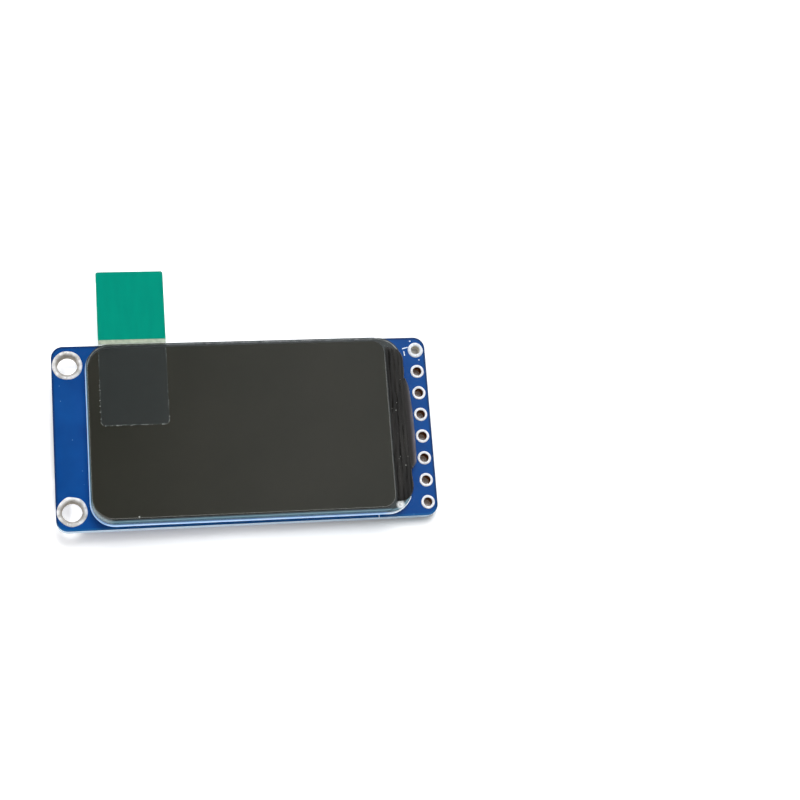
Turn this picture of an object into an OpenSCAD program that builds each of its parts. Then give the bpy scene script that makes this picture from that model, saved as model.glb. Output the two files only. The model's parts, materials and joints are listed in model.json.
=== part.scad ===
// Small colour display module: a glass panel taped on a blue circuit board, with a row of
// header holes at one end, a flip-lid connector for a flat cable on the rear and a pull tab
// on the panel's protective film. Millimetres. X runs from the mounting holes to the header
// holes, Y across the board, Z out of the screen; the origin lies midway between the
// mounting holes on the board's rear face.

/* [Board] */
// Thickness of the board
board_t = 1.2; // [0.8:0.1:2]
// Radius of the board's corners
board_corner_r = 1.3; // [0.6:0.1:1.6]
// Board left bare beside each long edge of the panel
board_side = 0.25; // [0.2:0.05:2]
// Thickness of the plating in the holes
plating_t = 0.05; // [0.03:0.01:0.08]
// Height of a tinned land above the board
land_t = 0.05; // [0.03:0.01:0.08]

/* [Mounting holes] */
// Diameter of a mounting hole
mount_hole_d = 2.2; // [1.6:0.1:2.4]
// Diameter of the tinned ring around a mounting hole
mount_ring_d = 3.3; // [2.8:0.1:3.4]
// Distance from the mounting holes to the board's short edge
mount_end = 1.75; // [1.75:0.05:3]
// Distance from a mounting hole to the nearest long edge
mount_side = 2.15; // [1.9:0.05:3]

/* [Header holes] */
// Spacing of the header holes
header_pitch = 2.54; // [2:0.01:5.08]
// Least board between the outermost header ring and the long edge
header_edge = 0.4; // [0.2:0.05:1]
// Diameter of a header hole
header_hole_d = 1; // [0.8:0.05:1.1]
// Diameter of the tinned ring around a header hole
header_ring_d = 1.55; // [1.4:0.05:1.8]
// Distance from the header holes to the board's short edge
header_end = 1.1; // [1:0.05:3]
// Space between the bent flex and the header rings
header_space = 0.26; // [0.1:0.01:3]

/* [Panel] */
// Length of the panel
panel_l = 35.6; // [30:0.1:44]
// Width of the panel
panel_w = 20.3; // [17.4:0.1:26]
// Radius of the panel's corners
panel_corner_r = 2.7; // [2:0.1:4]
// Space between the mounting rings and the panel
panel_space = 0.25; // [0.1:0.05:2]
// Thickness of the tape under the panel
mount_tape_t = 0.2; // [0.2:0.05:0.4]
// Distance of the tape's edge from the panel's edge
mount_tape_inset = 0.3; // [0.1:0.05:1]

/* [Backlight] */
// Thickness of the reflector film
reflector_t = 0.08; // [0.05:0.01:0.15]
// Wall of the frame around the light guide
frame_wall = 0.6; // [0.4:0.05:1]
// Thickness of the light guide
light_guide_t = 0.5; // [0.4:0.05:0.8]
// Play of the light guide and the films in the frame
guide_play = 0.1; // [0.05:0.01:0.2]
// Thickness of the diffuser and of each prism film
film_t = 0.08; // [0.05:0.01:0.12]
// Number of light-emitting diodes
led_count = 3; // [2:1:4]
// Length of one diode
led_l = 3; // [2:0.1:3.2]
// Depth of one diode
led_d = 0.6; // [0.4:0.05:0.8]
// Spacing of the diodes
led_pitch = 4.6; // [3.4:0.1:4.8]
// Thickness of the strip that carries the diodes
led_strip_t = 0.08; // [0.05:0.01:0.12]
// Thickness of the black light-shield tape
shield_t = 0.06; // [0.04:0.01:0.1]
// Width of the light-shield tape all round
shield_w = 1.3; // [1:0.05:2]

/* [Glass] */
// Thickness of each polarizer
polarizer_t = 0.11; // [0.08:0.01:0.2]
// Thickness of each glass
glass_t = 0.25; // [0.2:0.01:0.5]
// Distance of the glass from the frame's edge
glass_inset = 0.1; // [0.05:0.01:0.3]
// Length of the ledge where the lower glass is bare
ledge_l = 1.85; // [1.7:0.05:2.5]
// Radius of the upper glass's corners at the ledge
ledge_corner_r = 1.4; // [0.5:0.1:2]
// Distance of the polarizers from the glass's long edges
polarizer_side = 0.45; // [0.1:0.05:0.6]
// Distance of the polarizers from the ends of the upper glass
polarizer_end = 0.12; // [0.05:0.01:0.4]
// Thickness of the protective film
protective_film_t = 0.05; // [0.03:0.01:0.1]

/* [Driver chip] */
// Length of the driver chip
driver_l = 13; // [8:0.5:15]
// Width of the driver chip
driver_w = 0.65; // [0.5:0.05:0.7]
// Thickness of the driver chip
driver_t = 0.18; // [0.12:0.01:0.2]
// Space between the upper glass and the driver chip
driver_space = 0.2; // [0.1:0.05:0.25]
// Sealant over and around the driver chip
sealant_cover = 0.06; // [0.04:0.01:0.1]
// Length of the sealant bead along the ledge
sealant_l = 16; // [15.5:0.1:16.5]

/* [Flex] */
// Width of the flex
flex_w = 10.4; // [8:0.1:14]
// Thickness of the flex
flex_t = 0.1; // [0.06:0.01:0.12]
// Length of the flex bonded on the ledge
flex_bond_l = 0.6; // [0.4:0.05:0.6]
// Straight length of the flex past the glass before its bend
flex_lead = 0.12; // [0.08:0.01:0.3]
// Length of the tail under the panel
flex_tail_l = 5; // [4:0.1:8]
// Number of soldered lands under the tail
flex_land_count = 12; // [8:1:12]
// Spacing of the soldered lands
flex_land_pitch = 0.7; // [0.5:0.05:0.7]
// Width of one soldered land
flex_land_w = 0.4; // [0.25:0.05:0.4]
// Length of one soldered land
flex_land_l = 1.6; // [1:0.1:2]

/* [Pull tab] */
// Width of the tab and of its tape
tab_w = 7.45; // [5:0.05:12]
// Distance of the tab from the panel's end
tab_offset = 1.5; // [0.5:0.05:10]
// Length of the clear tape on the panel
tab_tape_on = 9.4; // [4:0.1:14]
// Clear tape between the board's edge and the tab
tab_tape_bare = 0.1; // [0.1:0.05:2]
// Length of the green tab
tab_l = 7.9; // [4:0.1:14]
// Thickness of the clear tape
tab_tape_t = 0.05; // [0.03:0.01:0.1]
// Thickness of the green tab
tab_t = 0.08; // [0.05:0.01:0.12]
// Radius of the tape's corners on the panel
tab_tape_corner_r = 0.5; // [0.2:0.1:1.2]
// Radius of the tab's outer corners, which are the tape's too
tab_corner_r = 0.25; // [0.1:0.05:1.2]
// Radius of the tab's corners beside the board
tab_inner_r = 0.05; // [0.02:0.01:0.5]

/* [Connector] */
// Number of contacts
contact_count = 8; // [6:1:10]
// Spacing of the contacts
contact_pitch = 0.5; // [0.5:0.05:0.8]
// Thickness of one contact
contact_t = 0.2; // [0.15:0.01:0.22]
// Height of a contact's arms
contact_arm = 0.2; // [0.15:0.01:0.22]
// Height of a contact's foot
contact_foot = 0.15; // [0.1:0.01:0.2]
// Length of a contact's tail behind the housing
contact_tail_l = 1.3; // [0.8:0.1:2]
// Depth of a contact's riser
contact_riser_d = 0.4; // [0.3:0.05:0.5]
// Distance of the risers from the housing's back
contact_back = 0.35; // [0.2:0.05:0.4]
// Reach of the upper arms past the hinge towards the mouth
contact_reach = 0.25; // [0.1:0.01:0.3]
// Distance of the lower arms' tips behind the hinge
contact_tip = 0.3; // [0.1:0.05:0.6]
// Height of the bump that touches the cable
contact_bump = 0.12; // [0.08:0.01:0.15]
// Depth of the lower arms below the floor's surface
contact_sink = 0.05; // [0.03:0.01:0.08]
// Play of a contact in its slot
contact_play = 0.02; // [0.01:0.01:0.04]
// Width of a contact's land
contact_land_w = 0.3; // [0.25:0.01:0.34]
// Length of a contact's land past its tail
contact_land_past = 0.16; // [0.1:0.02:0.4]
// Depth of the housing, from its mouth to its back
housing_d = 4.85; // [4.6:0.05:6]
// Height of the housing
housing_h = 2; // [1.9:0.05:2.5]
// Housing beside the outermost contact on each side
housing_side = 2.65; // [2.6:0.05:3.5]
// Distance of the housing's mouth from the board's edge
housing_inset = 0.4; // [0:0.05:0.5]
// Thickness of the housing's floor under the cable
housing_floor = 0.5; // [0.5:0.02:0.6]
// Height of the slot for the cable
cable_slot_h = 0.35; // [0.3:0.01:0.4]
// Depth of the slot for the cable
cable_slot_d = 3.7; // [3:0.1:3.7]
// Slot for the cable beside the outermost contact on each side
cable_slot_side = 0.55; // [0.5:0.01:0.7]
// Width of the notches in the housing's back
housing_notch_w = 0.4; // [0.2:0.05:0.5]
// Depth of the notches in the housing's back
housing_notch_d = 0.45; // [0.3:0.05:0.6]
// Distance from the outermost contact to the middle of a notch
housing_notch_side = 0.95; // [0.8:0.05:1.2]
// Depth of the slope along the housing's back
housing_slope_d = 0.6; // [0.3:0.05:0.7]
// Height of the slope along the housing's back
housing_slope_h = 0.45; // [0.2:0.05:0.6]

/* [Connector lid] */
// Lid beside the outermost contact on each side
lid_side = 1.58; // [1.3:0.02:1.6]
// Radius of the lid's round rear edge, about its hinge
lid_round_r = 0.4; // [0.35:0.01:0.45]
// Distance of the lid's top below the housing's top
lid_recess = 0.05; // [0.03:0.01:0.1]
// Distance from the housing's mouth to the hinge
lid_hinge_d = 1.6; // [1.4:0.05:1.7]
// Distance from the hinge to the thick part of the lid
lid_heel = 0.35; // [0.3:0.01:0.5]
// Length of the slope behind the thick part of the lid
lid_heel_slope = 0.2; // [0.1:0.01:0.25]
// Distance of the shelf's front edge from the hinge
lid_shelf = 0.05; // [0:0.01:0.1]
// Lid cut back beside the outermost contact on each side
lid_comb_side = 0.45; // [0.4:0.01:0.6]
// Lid left behind the hinge where it is cut back
lid_comb_past = 0.04; // [0.02:0.01:0.1]
// Radius of the notches for the contacts, about the hinge
lid_notch_r = 0.56; // [0.5:0.01:0.6]
// Play of a contact in its notch on each side
lid_notch_play = 0.05; // [0.03:0.01:0.07]
// Height of the lid's grip bar
lid_bar_h = 0.7; // [0.4:0.05:0.9]
// Length of the lid's grip bar in front of the mouth
lid_bar_d = 0.3; // [0.2:0.05:0.6]
// Length of the grip bar beside the lid on each side
lid_bar_side = 0.47; // [0.2:0.01:0.9]
// Radius of the lid's hinge pins
lid_pin_r = 0.25; // [0.2:0.01:0.3]
// Length of a hinge pin
lid_pin_l = 0.45; // [0.3:0.05:0.6]
// Running clearance around the lid
lid_play = 0.06; // [0.04:0.01:0.08]

/* [Hold-downs] */
// Distance of a hold-down clip from the housing's mouth
hold_down_at = 0.75; // [0.3:0.05:2]
// Length of a hold-down clip
hold_down_l = 1.2; // [0.6:0.1:1.6]
// Sheet thickness of a hold-down clip
hold_down_t = 0.15; // [0.1:0.01:0.2]
// Height of a hold-down clip on the housing's side
hold_down_h = 0.9; // [0.5:0.1:1.5]
// Width of a hold-down clip's foot
hold_down_foot = 0.5; // [0.3:0.05:0.8]

/* [Chip components] */
// Length of a capacitor or resistor
chip_l = 1.6; // [1:0.1:2]
// Width of a capacitor or resistor
chip_w = 0.85; // [0.5:0.05:1.25]
// Height of a capacitor
capacitor_h = 0.8; // [0.5:0.05:0.9]
// Height of a resistor
resistor_h = 0.5; // [0.3:0.05:0.6]
// Length of a tinned end
chip_end_l = 0.36; // [0.2:0.02:0.45]
// Wall of a tinned end
chip_end_t = 0.04; // [0.02:0.01:0.06]
// Length of a land past a component's end
chip_land_past = 0.35; // [0.2:0.05:0.4]
// Distance from the mounting holes to the row of capacitors
capacitor_row_x = 14.9; // [12:0.1:16]
// Places of the capacitors across the board
capacitor_y = [4.15, 2.4, -2.7, -4.4]; // [-9:0.05:9]
// Distance from the mounting holes to the row of resistors
resistor_row_x = 19.85; // [19:0.1:26]
// Places of the resistors across the board
resistor_y = [3.85, 2.3, -2.8, -4.35]; // [-9:0.05:9]

/* [Three-lead packages] */
// Length of a package
package_l = 2.9; // [2.4:0.1:3]
// Width of a package
package_w = 1.3; // [1.1:0.05:1.5]
// Height of a package above its lands
package_h = 0.95; // [0.8:0.05:1]
// Narrowing of a package on each side at its top and bottom
package_draft = 0.08; // [0.04:0.01:0.15]
// Height of the flat band where a package's leads come out
package_band = 0.16; // [0.16:0.01:0.2]
// Gap under a package
package_gap = 0.08; // [0.05:0.01:0.12]
// Distance from a package's centre to each of its paired leads
package_lead_y = 0.95; // [0.85:0.05:1]
// Width of a lead
lead_w = 0.42; // [0.3:0.02:0.5]
// Thickness of a lead
lead_t = 0.13; // [0.1:0.01:0.16]
// Reach of a lead from the package's side
lead_reach = 0.6; // [0.5:0.05:0.8]
// Width of the land under a lead
lead_land_w = 0.6; // [0.5:0.05:0.8]
// Place of the regulator: from the mounting holes, and across the board
regulator_at = [14.7, -0.1]; // [-9:0.1:30]
// Place of the transistor: from the mounting holes, and across the board
transistor_at = [19.6, -0.25]; // [-9:0.05:30]

/* [Hidden] */
$fn = 64;
// Overshoot of a cut past the face that it opens
cut = 0.1;

// Heights of the panel's layers, from the board's front face up
z_reflector = board_t + mount_tape_t;
z_guide = z_reflector + reflector_t;
z_diffuser = z_guide + light_guide_t;
z_lower_prism = z_diffuser + film_t;
z_upper_prism = z_lower_prism + film_t;
z_shield = z_upper_prism + film_t;
z_rear_polarizer = z_shield + shield_t;
z_lower_glass = z_rear_polarizer + polarizer_t;
z_upper_glass = z_lower_glass + glass_t;
z_front_polarizer = z_upper_glass + glass_t;
z_protective_film = z_front_polarizer + polarizer_t;
z_tab_tape = z_protective_film + protective_film_t;

// Panel, from its mount end to its flex end
panel_x0 = mount_ring_d / 2 + panel_space;
panel_x1 = panel_x0 + panel_l;
cavity_x0 = panel_x0 + frame_wall;
cavity_x1 = panel_x1 - frame_wall;
cavity_w = panel_w - 2 * frame_wall;
cavity_r = panel_corner_r - frame_wall;
guide_x0 = cavity_x0 + guide_play;
guide_x1 = cavity_x1 - led_d - 2 * guide_play;
guide_w = cavity_w - 2 * guide_play;
guide_r = cavity_r - guide_play;
led_x0 = guide_x1 + guide_play;
glass_x0 = panel_x0 + glass_inset;
glass_x1 = panel_x1 - glass_inset;
glass_w = panel_w - 2 * glass_inset;
glass_r = panel_corner_r - glass_inset;
ledge_x = glass_x1 - ledge_l;
polarizer_x0 = glass_x0 + polarizer_end;
polarizer_x1 = ledge_x - polarizer_end;
polarizer_w = glass_w - 2 * polarizer_side;

// Flex: bonded on the ledge, bent round the panel's end, tail on the board's lands
bond_x = glass_x1 - flex_bond_l;
bend_x = glass_x1 + glass_inset + flex_lead;
tail_z = board_t + land_t;
bend_r = (z_upper_glass + flex_t - tail_z) / 2;
tail_x = bend_x - flex_tail_l;
driver_x = ledge_x + driver_space;

// Board outline and holes
header_x = bend_x + bend_r + header_space + header_ring_d / 2;
board_x0 = -mount_end;
board_x1 = header_x + header_end;
board_w = panel_w + 2 * board_side;
mount_y = board_w / 2 - mount_side;
function row_place(i, count, pitch) = (i - (count - 1) / 2) * pitch;
// As many header holes as the board's width takes
header_count = 1 + floor((board_w - header_ring_d - 2 * header_edge) / header_pitch);
header_y = [for (i = [0:header_count - 1]) row_place(i, header_count, header_pitch)];

// Pull tab
tab_x = panel_x0 + tab_offset;
tab_tape_y0 = panel_w / 2 - tab_tape_on;
tab_y0 = board_w / 2 + tab_tape_bare;
tab_y1 = tab_y0 + tab_l;

// Connector, heights counted from the board's rear face outwards
contact_y = [for (i = [0:contact_count - 1]) row_place(i, contact_count, contact_pitch)];
contact_span = (contact_count - 1) * contact_pitch;
housing_w = contact_span + 2 * housing_side;
housing_x0 = board_x0 + housing_inset;
housing_x1 = housing_x0 + housing_d;
housing_notch_y = contact_span / 2 + housing_notch_side;
cable_slot_w = contact_span + 2 * cable_slot_side;
cable_slot_x1 = housing_x0 + cable_slot_d;
cable_slot_top = housing_floor + cable_slot_h;
lid_w = contact_span + 2 * lid_side;
hinge_x = housing_x0 + lid_hinge_d;
hinge_h = housing_h - lid_recess - lid_round_r;
lid_top = hinge_h + lid_round_r;
lid_bottom = cable_slot_top + lid_play;
lid_bay_x1 = hinge_x + lid_round_r + lid_play;
upper_arm_h = hinge_h - contact_arm / 4;
upper_arm_x0 = hinge_x - contact_reach;
lower_arm_h = housing_floor - contact_sink - contact_arm;
lower_arm_x0 = hinge_x + contact_tip;
riser_x0 = housing_x1 - contact_back - contact_riser_d;
tail_end_x = housing_x1 + contact_tail_l;
hold_down_x = housing_x0 + hold_down_at;

// Three-lead packages
package_mid = package_gap + (package_h - package_gap) / 2;
package_leads = [[-1, 0], [1, -package_lead_y], [1, package_lead_y]];

CAPACITORS = [for (i = [1:4]) str("capacitor_", i)];
RESISTORS = [for (i = [1:4]) str("resistor_", i)];

// Rectangle from x0 to x1, w wide about the X axis, with corner radius r0 at x0 and r1 at x1
module outline(x0, x1, w, r0, r1) {
    translate([x0 + r0, -w / 2])
        square([x1 - x0 - r0 - r1, w]);
    translate([x0, r0 - w / 2])
        square([r0, w - 2 * r0]);
    translate([x1 - r1, r1 - w / 2])
        square([r1, w - 2 * r1]);
    for (side = [-1, 1]) {
        translate([x0 + r0, side * (w / 2 - r0)])
            circle(r0);
        translate([x1 - r1, side * (w / 2 - r1)])
            circle(r1);
    }
}

// Flat layer of thickness t with its underside at height z
module layer(z, t) {
    translate([0, 0, z])
        linear_extrude(t)
            children();
}

// Box given by its lowest and highest corners
module box(low, high) {
    translate(low)
        cube(high - low);
}

// Turns a solid built outwards from the board's rear face to its place under the board
module on_rear() {
    mirror([0, 0, 1])
        children();
}

// Profile drawn in X and height, as thick as t and centred on y
module slice(y, t) {
    translate([0, y + t / 2, 0])
        rotate([90, 0, 0])
            linear_extrude(t)
                children();
}

// Plated hole: a ring on each face of the board, joined by the plated wall
module plated_ring(hole_d, ring_d) {
    hole_r = hole_d / 2;
    ring_r = ring_d / 2;
    wall_r = hole_r + plating_t;
    rotate_extrude()
        polygon([
            [hole_r, -land_t], [ring_r, -land_t], [ring_r, 0], [wall_r, 0],
            [wall_r, board_t], [ring_r, board_t], [ring_r, board_t + land_t],
            [hole_r, board_t + land_t]
        ]);
}

// Cut through the board for a plated hole
module board_hole(hole_d) {
    translate([0, 0, -cut])
        cylinder(h = board_t + 2 * cut, d = hole_d + 2 * plating_t);
}

module at_mounting_holes() {
    for (side = [-1, 1])
        translate([0, side * mount_y, 0])
            children();
}

module at_header_holes() {
    for (y = header_y)
        translate([header_x, y, 0])
            children();
}

module pcb() {
    color("#0f4a8f")
        difference() {
            layer(0, board_t)
                outline(board_x0, board_x1, board_w, board_corner_r, board_corner_r);
            at_mounting_holes()
                board_hole(mount_hole_d);
            at_header_holes()
                board_hole(header_hole_d);
        }
}

module mounting_hole_rings() {
    color("silver")
        at_mounting_holes()
            plated_ring(mount_hole_d, mount_ring_d);
}

module header_hole_rings() {
    color("silver")
        at_header_holes()
            plated_ring(header_hole_d, header_ring_d);
}

// Land on the board's rear face, from x0 to x1 and w wide about y
module rear_land(x0, x1, y, w) {
    on_rear()
        box([x0, y - w / 2, 0], [x1, y + w / 2, land_t]);
}

module chip_lands(x, y) {
    for (side = [-1, 1]) {
        inner = x + side * (chip_l / 2 - chip_end_l);
        outer = x + side * (chip_l / 2 + chip_land_past);
        rear_land(min(inner, outer), max(inner, outer), y, chip_w);
    }
}

module package_lands(at) {
    for (lead = package_leads) {
        foot = package_w / 2 + lead_reach;
        inner = at[0] + lead[0] * (foot - lead_reach / 2);
        outer = at[0] + lead[0] * (foot + chip_land_past);
        rear_land(min(inner, outer), max(inner, outer), at[1] + lead[1], lead_land_w);
    }
}

module solder_pads() {
    color("gainsboro") {
        for (y = capacitor_y)
            chip_lands(capacitor_row_x, y);
        for (y = resistor_y)
            chip_lands(resistor_row_x, y);
        package_lands(regulator_at);
        package_lands(transistor_at);
        for (y = contact_y)
            rear_land(
                housing_x1 + contact_play, tail_end_x + contact_land_past, y, contact_land_w
            );
        for (side = [-1, 1])
            rear_land(
                hold_down_x - contact_play, hold_down_x + hold_down_l + contact_play,
                side * (housing_w / 2 + hold_down_foot / 2 + 2 * contact_play), hold_down_foot
            );
        for (i = [0:flex_land_count - 1]) {
            y = row_place(i, flex_land_count, flex_land_pitch);
            box(
                [tail_x, y - flex_land_w / 2, board_t],
                [tail_x + flex_land_l, y + flex_land_w / 2, tail_z]
            );
        }
    }
}

module panel_mount_tape() {
    tape_w = panel_w - 2 * mount_tape_inset;
    tape_r = panel_corner_r - mount_tape_inset;
    tail_space = flex_w + 2 * mount_tape_inset;
    color("whitesmoke")
        layer(board_t, mount_tape_t)
            difference() {
                outline(panel_x0 + mount_tape_inset, panel_x1 - mount_tape_inset, tape_w, tape_r, tape_r);
                translate([tail_x - mount_tape_inset, -tail_space / 2])
                    square([panel_x1 - tail_x + mount_tape_inset, tail_space]);
            }
}

module backlight_reflector() {
    color("white")
        layer(z_reflector, reflector_t)
            outline(
                panel_x0 + glass_inset, panel_x1 - glass_inset, glass_w, glass_r, glass_r
            );
}

module backlight_frame() {
    color("white")
        layer(z_guide, z_shield - z_guide)
            difference() {
                outline(panel_x0, panel_x1, panel_w, panel_corner_r, panel_corner_r);
                outline(cavity_x0, cavity_x1, cavity_w, cavity_r, cavity_r);
            }
}

// Outline of the light guide and of the films that lie on it
module guide_outline() {
    outline(guide_x0, guide_x1, guide_w, guide_r, guide_r);
}

module light_guide() {
    color("azure")
        layer(z_guide, light_guide_t)
            guide_outline();
}

module backlight_leds() {
    color("lemonchiffon")
        for (i = [0:led_count - 1]) {
            y = row_place(i, led_count, led_pitch);
            box(
                [led_x0, y - led_l / 2, z_guide],
                [led_x0 + led_d, y + led_l / 2, z_diffuser - led_strip_t]
            );
        }
}

module backlight_led_strip() {
    strip_l = (led_count - 1) * led_pitch + led_l;
    color("goldenrod")
        box(
            [led_x0, -strip_l / 2, z_diffuser - led_strip_t],
            [led_x0 + led_d, strip_l / 2, z_diffuser]
        );
}

module diffuser_film() {
    color("white")
        layer(z_diffuser, film_t)
            guide_outline();
}

module lower_prism_film() {
    color("aliceblue")
        layer(z_lower_prism, film_t)
            guide_outline();
}

module upper_prism_film() {
    color("lavender")
        layer(z_upper_prism, film_t)
            guide_outline();
}

module light_shield_tape() {
    window_w = glass_w - 2 * shield_w;
    window_r = glass_r - shield_w;
    color("black")
        layer(z_shield, shield_t)
            difference() {
                outline(glass_x0, glass_x1, glass_w, glass_r, glass_r);
                outline(glass_x0 + shield_w, ledge_x - shield_w, window_w, window_r, window_r);
            }
}

// Outline of both polarizers and of the protective film
module polarizer_outline() {
    outline(polarizer_x0, polarizer_x1, polarizer_w, glass_r - polarizer_end, ledge_corner_r);
}

module rear_polarizer() {
    color("dimgray")
        layer(z_rear_polarizer, polarizer_t)
            polarizer_outline();
}

module tft_glass() {
    color("lightsteelblue")
        layer(z_lower_glass, glass_t)
            outline(glass_x0, glass_x1, glass_w, glass_r, glass_r);
}

module colour_filter_glass() {
    color("slategray")
        layer(z_upper_glass, glass_t)
            outline(glass_x0, ledge_x, glass_w, glass_r, ledge_corner_r);
}

module front_polarizer() {
    color("#40413c")
        layer(z_front_polarizer, polarizer_t)
            polarizer_outline();
}

module driver_chip() {
    color("darkslategray")
        box(
            [driver_x, -driver_l / 2, z_upper_glass],
            [driver_x + driver_w, driver_l / 2, z_upper_glass + driver_t]
        );
}

// Bead that slopes from the upper glass over the chip to the flex, hollow around the chip
module ledge_sealant() {
    top = z_upper_glass + driver_t + sealant_cover;
    color("#1c1c1c")
        difference() {
            slice(0, sealant_l)
                polygon([
                    [ledge_x, z_upper_glass], [bond_x, z_upper_glass],
                    [bond_x, z_upper_glass + flex_t], [driver_x + driver_w, top], [ledge_x, top]
                ]);
            driver_chip();
        }
}

// Ribbon that runs flat on the ledge, turns half a circle and runs back on the board
module panel_flex() {
    color("#7a5a2a")
        slice(0, flex_w) {
            translate([bond_x, z_upper_glass])
                square([bend_x - bond_x, flex_t]);
            translate([tail_x, tail_z])
                square([bend_x - tail_x, flex_t]);
            translate([bend_x, tail_z + bend_r])
                intersection() {
                    difference() {
                        circle(bend_r);
                        circle(bend_r - flex_t);
                    }
                    translate([0, -bend_r])
                        square([bend_r, 2 * bend_r]);
                }
        }
}

module protective_film() {
    color("ghostwhite", 0.4)
        layer(z_protective_film, protective_film_t)
            polarizer_outline();
}

// Strip along Y from y0 to y1, as wide as the tab, with corners of radius r0 and r1 at its ends
module tab_strip(y0, y1, r0, r1) {
    translate([tab_x + tab_w / 2, 0])
        rotate(90)
            outline(y0, y1, tab_w, r0, r1);
}

module pull_tab_tape() {
    color("white", 0.5)
        layer(z_tab_tape, tab_tape_t)
            tab_strip(tab_tape_y0, tab_y1, tab_tape_corner_r, tab_corner_r);
}

module pull_tab() {
    color("#099480")
        layer(z_tab_tape - tab_t, tab_t)
            tab_strip(tab_y0, tab_y1, tab_inner_r, tab_corner_r);
}

// Space for one contact in the housing: open at the back, under its riser and along its arms
module contact_space() {
    half_w = contact_t / 2 + contact_play;
    box(
        [riser_x0 - contact_play, -half_w, -cut],
        [housing_x1 + cut, half_w, upper_arm_h + contact_arm + contact_play]
    );
    box(
        [lower_arm_x0 - contact_play, -half_w, lower_arm_h - contact_play],
        [riser_x0, half_w, housing_floor + cut]
    );
    box(
        [lid_bay_x1 - cut, -half_w, upper_arm_h - contact_play],
        [riser_x0, half_w, upper_arm_h + contact_arm + contact_play]
    );
}

// Space where the lid lies and turns, with the cable slot under it
module lid_space() {
    half_w = lid_w / 2 + lid_play;
    shelf_x = hinge_x - lid_shelf;
    shelf_top = hinge_h - lid_round_r - lid_play;
    box([housing_x0 - cut, -half_w, cable_slot_top], [shelf_x, half_w, housing_h + cut]);
    box([shelf_x - cut, -half_w, shelf_top], [lid_bay_x1, half_w, housing_h + cut]);
    box(
        [housing_x0 - cut, -cable_slot_w / 2, housing_floor],
        [cable_slot_x1, cable_slot_w / 2, cable_slot_top]
    );
    slice(0, lid_w + 2 * (lid_pin_l + lid_play))
        translate([hinge_x, hinge_h])
            circle(lid_pin_r + lid_play);
}

// Notches and slope of the housing's back
module housing_back_cuts() {
    for (side = [-1, 1])
        translate([0, side * housing_notch_y, 0])
            box(
                [housing_x1 - housing_notch_d, -housing_notch_w / 2, -cut],
                [housing_x1 + cut, housing_notch_w / 2, housing_h + cut]
            );
    slice(0, 2 * housing_notch_y)
        polygon([
            [housing_x1 - housing_slope_d, housing_h],
            [housing_x1, housing_h - housing_slope_h],
            [housing_x1 + cut, housing_h - housing_slope_h],
            [housing_x1 + cut, housing_h + cut],
            [housing_x1 - housing_slope_d, housing_h + cut]
        ]);
}

module connector_housing() {
    color("ivory")
        on_rear()
            difference() {
                box([housing_x0, -housing_w / 2, 0], [housing_x1, housing_w / 2, housing_h]);
                lid_space();
                for (y = contact_y)
                    translate([0, y, 0])
                        contact_space();
                housing_back_cuts();
            }
}

// Lid: a plate with a round rear edge on two hinge pins and a grip bar in front
module connector_lid() {
    bar_x1 = housing_x0 - lid_play;
    bar_x0 = bar_x1 - lid_bar_d;
    bar_half_w = lid_w / 2 + lid_bar_side;
    heel_x = hinge_x - lid_heel;
    comb_half_w = contact_span / 2 + lid_comb_side;
    color("#2a2a28")
        on_rear() {
            difference() {
                slice(0, lid_w) {
                    translate([hinge_x, hinge_h])
                        circle(lid_round_r);
                    polygon([
                        [bar_x1, lid_bottom], [heel_x, lid_bottom],
                        [heel_x + lid_heel_slope, hinge_h - lid_round_r],
                        [hinge_x, hinge_h - lid_round_r], [hinge_x, lid_top], [bar_x1, lid_top]
                    ]);
                }
                box(
                    [hinge_x + lid_comb_past, -comb_half_w, 0],
                    [lid_bay_x1, comb_half_w, housing_h]
                );
                for (y = contact_y)
                    slice(y, contact_t + 2 * lid_notch_play)
                        translate([hinge_x, hinge_h])
                            circle(lid_notch_r);
            }
            box([bar_x0, -bar_half_w, lid_top - lid_bar_h], [bar_x1, bar_half_w, lid_top]);
            for (side = [-1, 1])
                slice(side * (lid_w / 2 + lid_pin_l / 2), lid_pin_l)
                    translate([hinge_x, hinge_h])
                        circle(lid_pin_r);
        }
}

// Contact: a foot on its land, a riser and two arms towards the mouth
module connector_contacts() {
    color("goldenrod")
        on_rear()
            for (y = contact_y)
                slice(y, contact_t) {
                    translate([riser_x0, land_t])
                        square([tail_end_x - riser_x0, contact_foot]);
                    translate([riser_x0, land_t])
                        square([contact_riser_d, upper_arm_h + contact_arm - land_t]);
                    translate([upper_arm_x0, upper_arm_h])
                        square([riser_x0 - upper_arm_x0, contact_arm]);
                    translate([lower_arm_x0, lower_arm_h])
                        square([riser_x0 - lower_arm_x0, contact_arm]);
                    translate([lower_arm_x0, lower_arm_h + contact_arm])
                        square([2 * contact_bump, contact_bump]);
                }
}

module connector_hold_downs() {
    color("silver")
        on_rear()
            for (side = [-1, 1])
                translate([hold_down_x, side * housing_w / 2, 0])
                    mirror([0, side < 0 ? 1 : 0, 0]) {
                        box([0, 0, land_t], [hold_down_l, hold_down_t, hold_down_h]);
                        box([0, 0, land_t], [hold_down_l, hold_down_foot, land_t + hold_down_t]);
                    }
}

// Ceramic body of a chip component h high
module chip_body(x, y, h) {
    half_l = chip_l / 2 - chip_end_t;
    half_w = chip_w / 2 - chip_end_t;
    on_rear()
        translate([x, y, land_t])
            box([-half_l, -half_w, chip_end_t], [half_l, half_w, h - chip_end_t]);
}

// Pair of tinned caps over the ends of a chip component h high
module chip_ends(x, y, h) {
    difference() {
        on_rear()
            for (side = [-1, 1])
                translate([x + side * (chip_l - chip_end_l) / 2, y, land_t])
                    box([-chip_end_l / 2, -chip_w / 2, 0], [chip_end_l / 2, chip_w / 2, h]);
        chip_body(x, y, h);
    }
}

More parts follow.
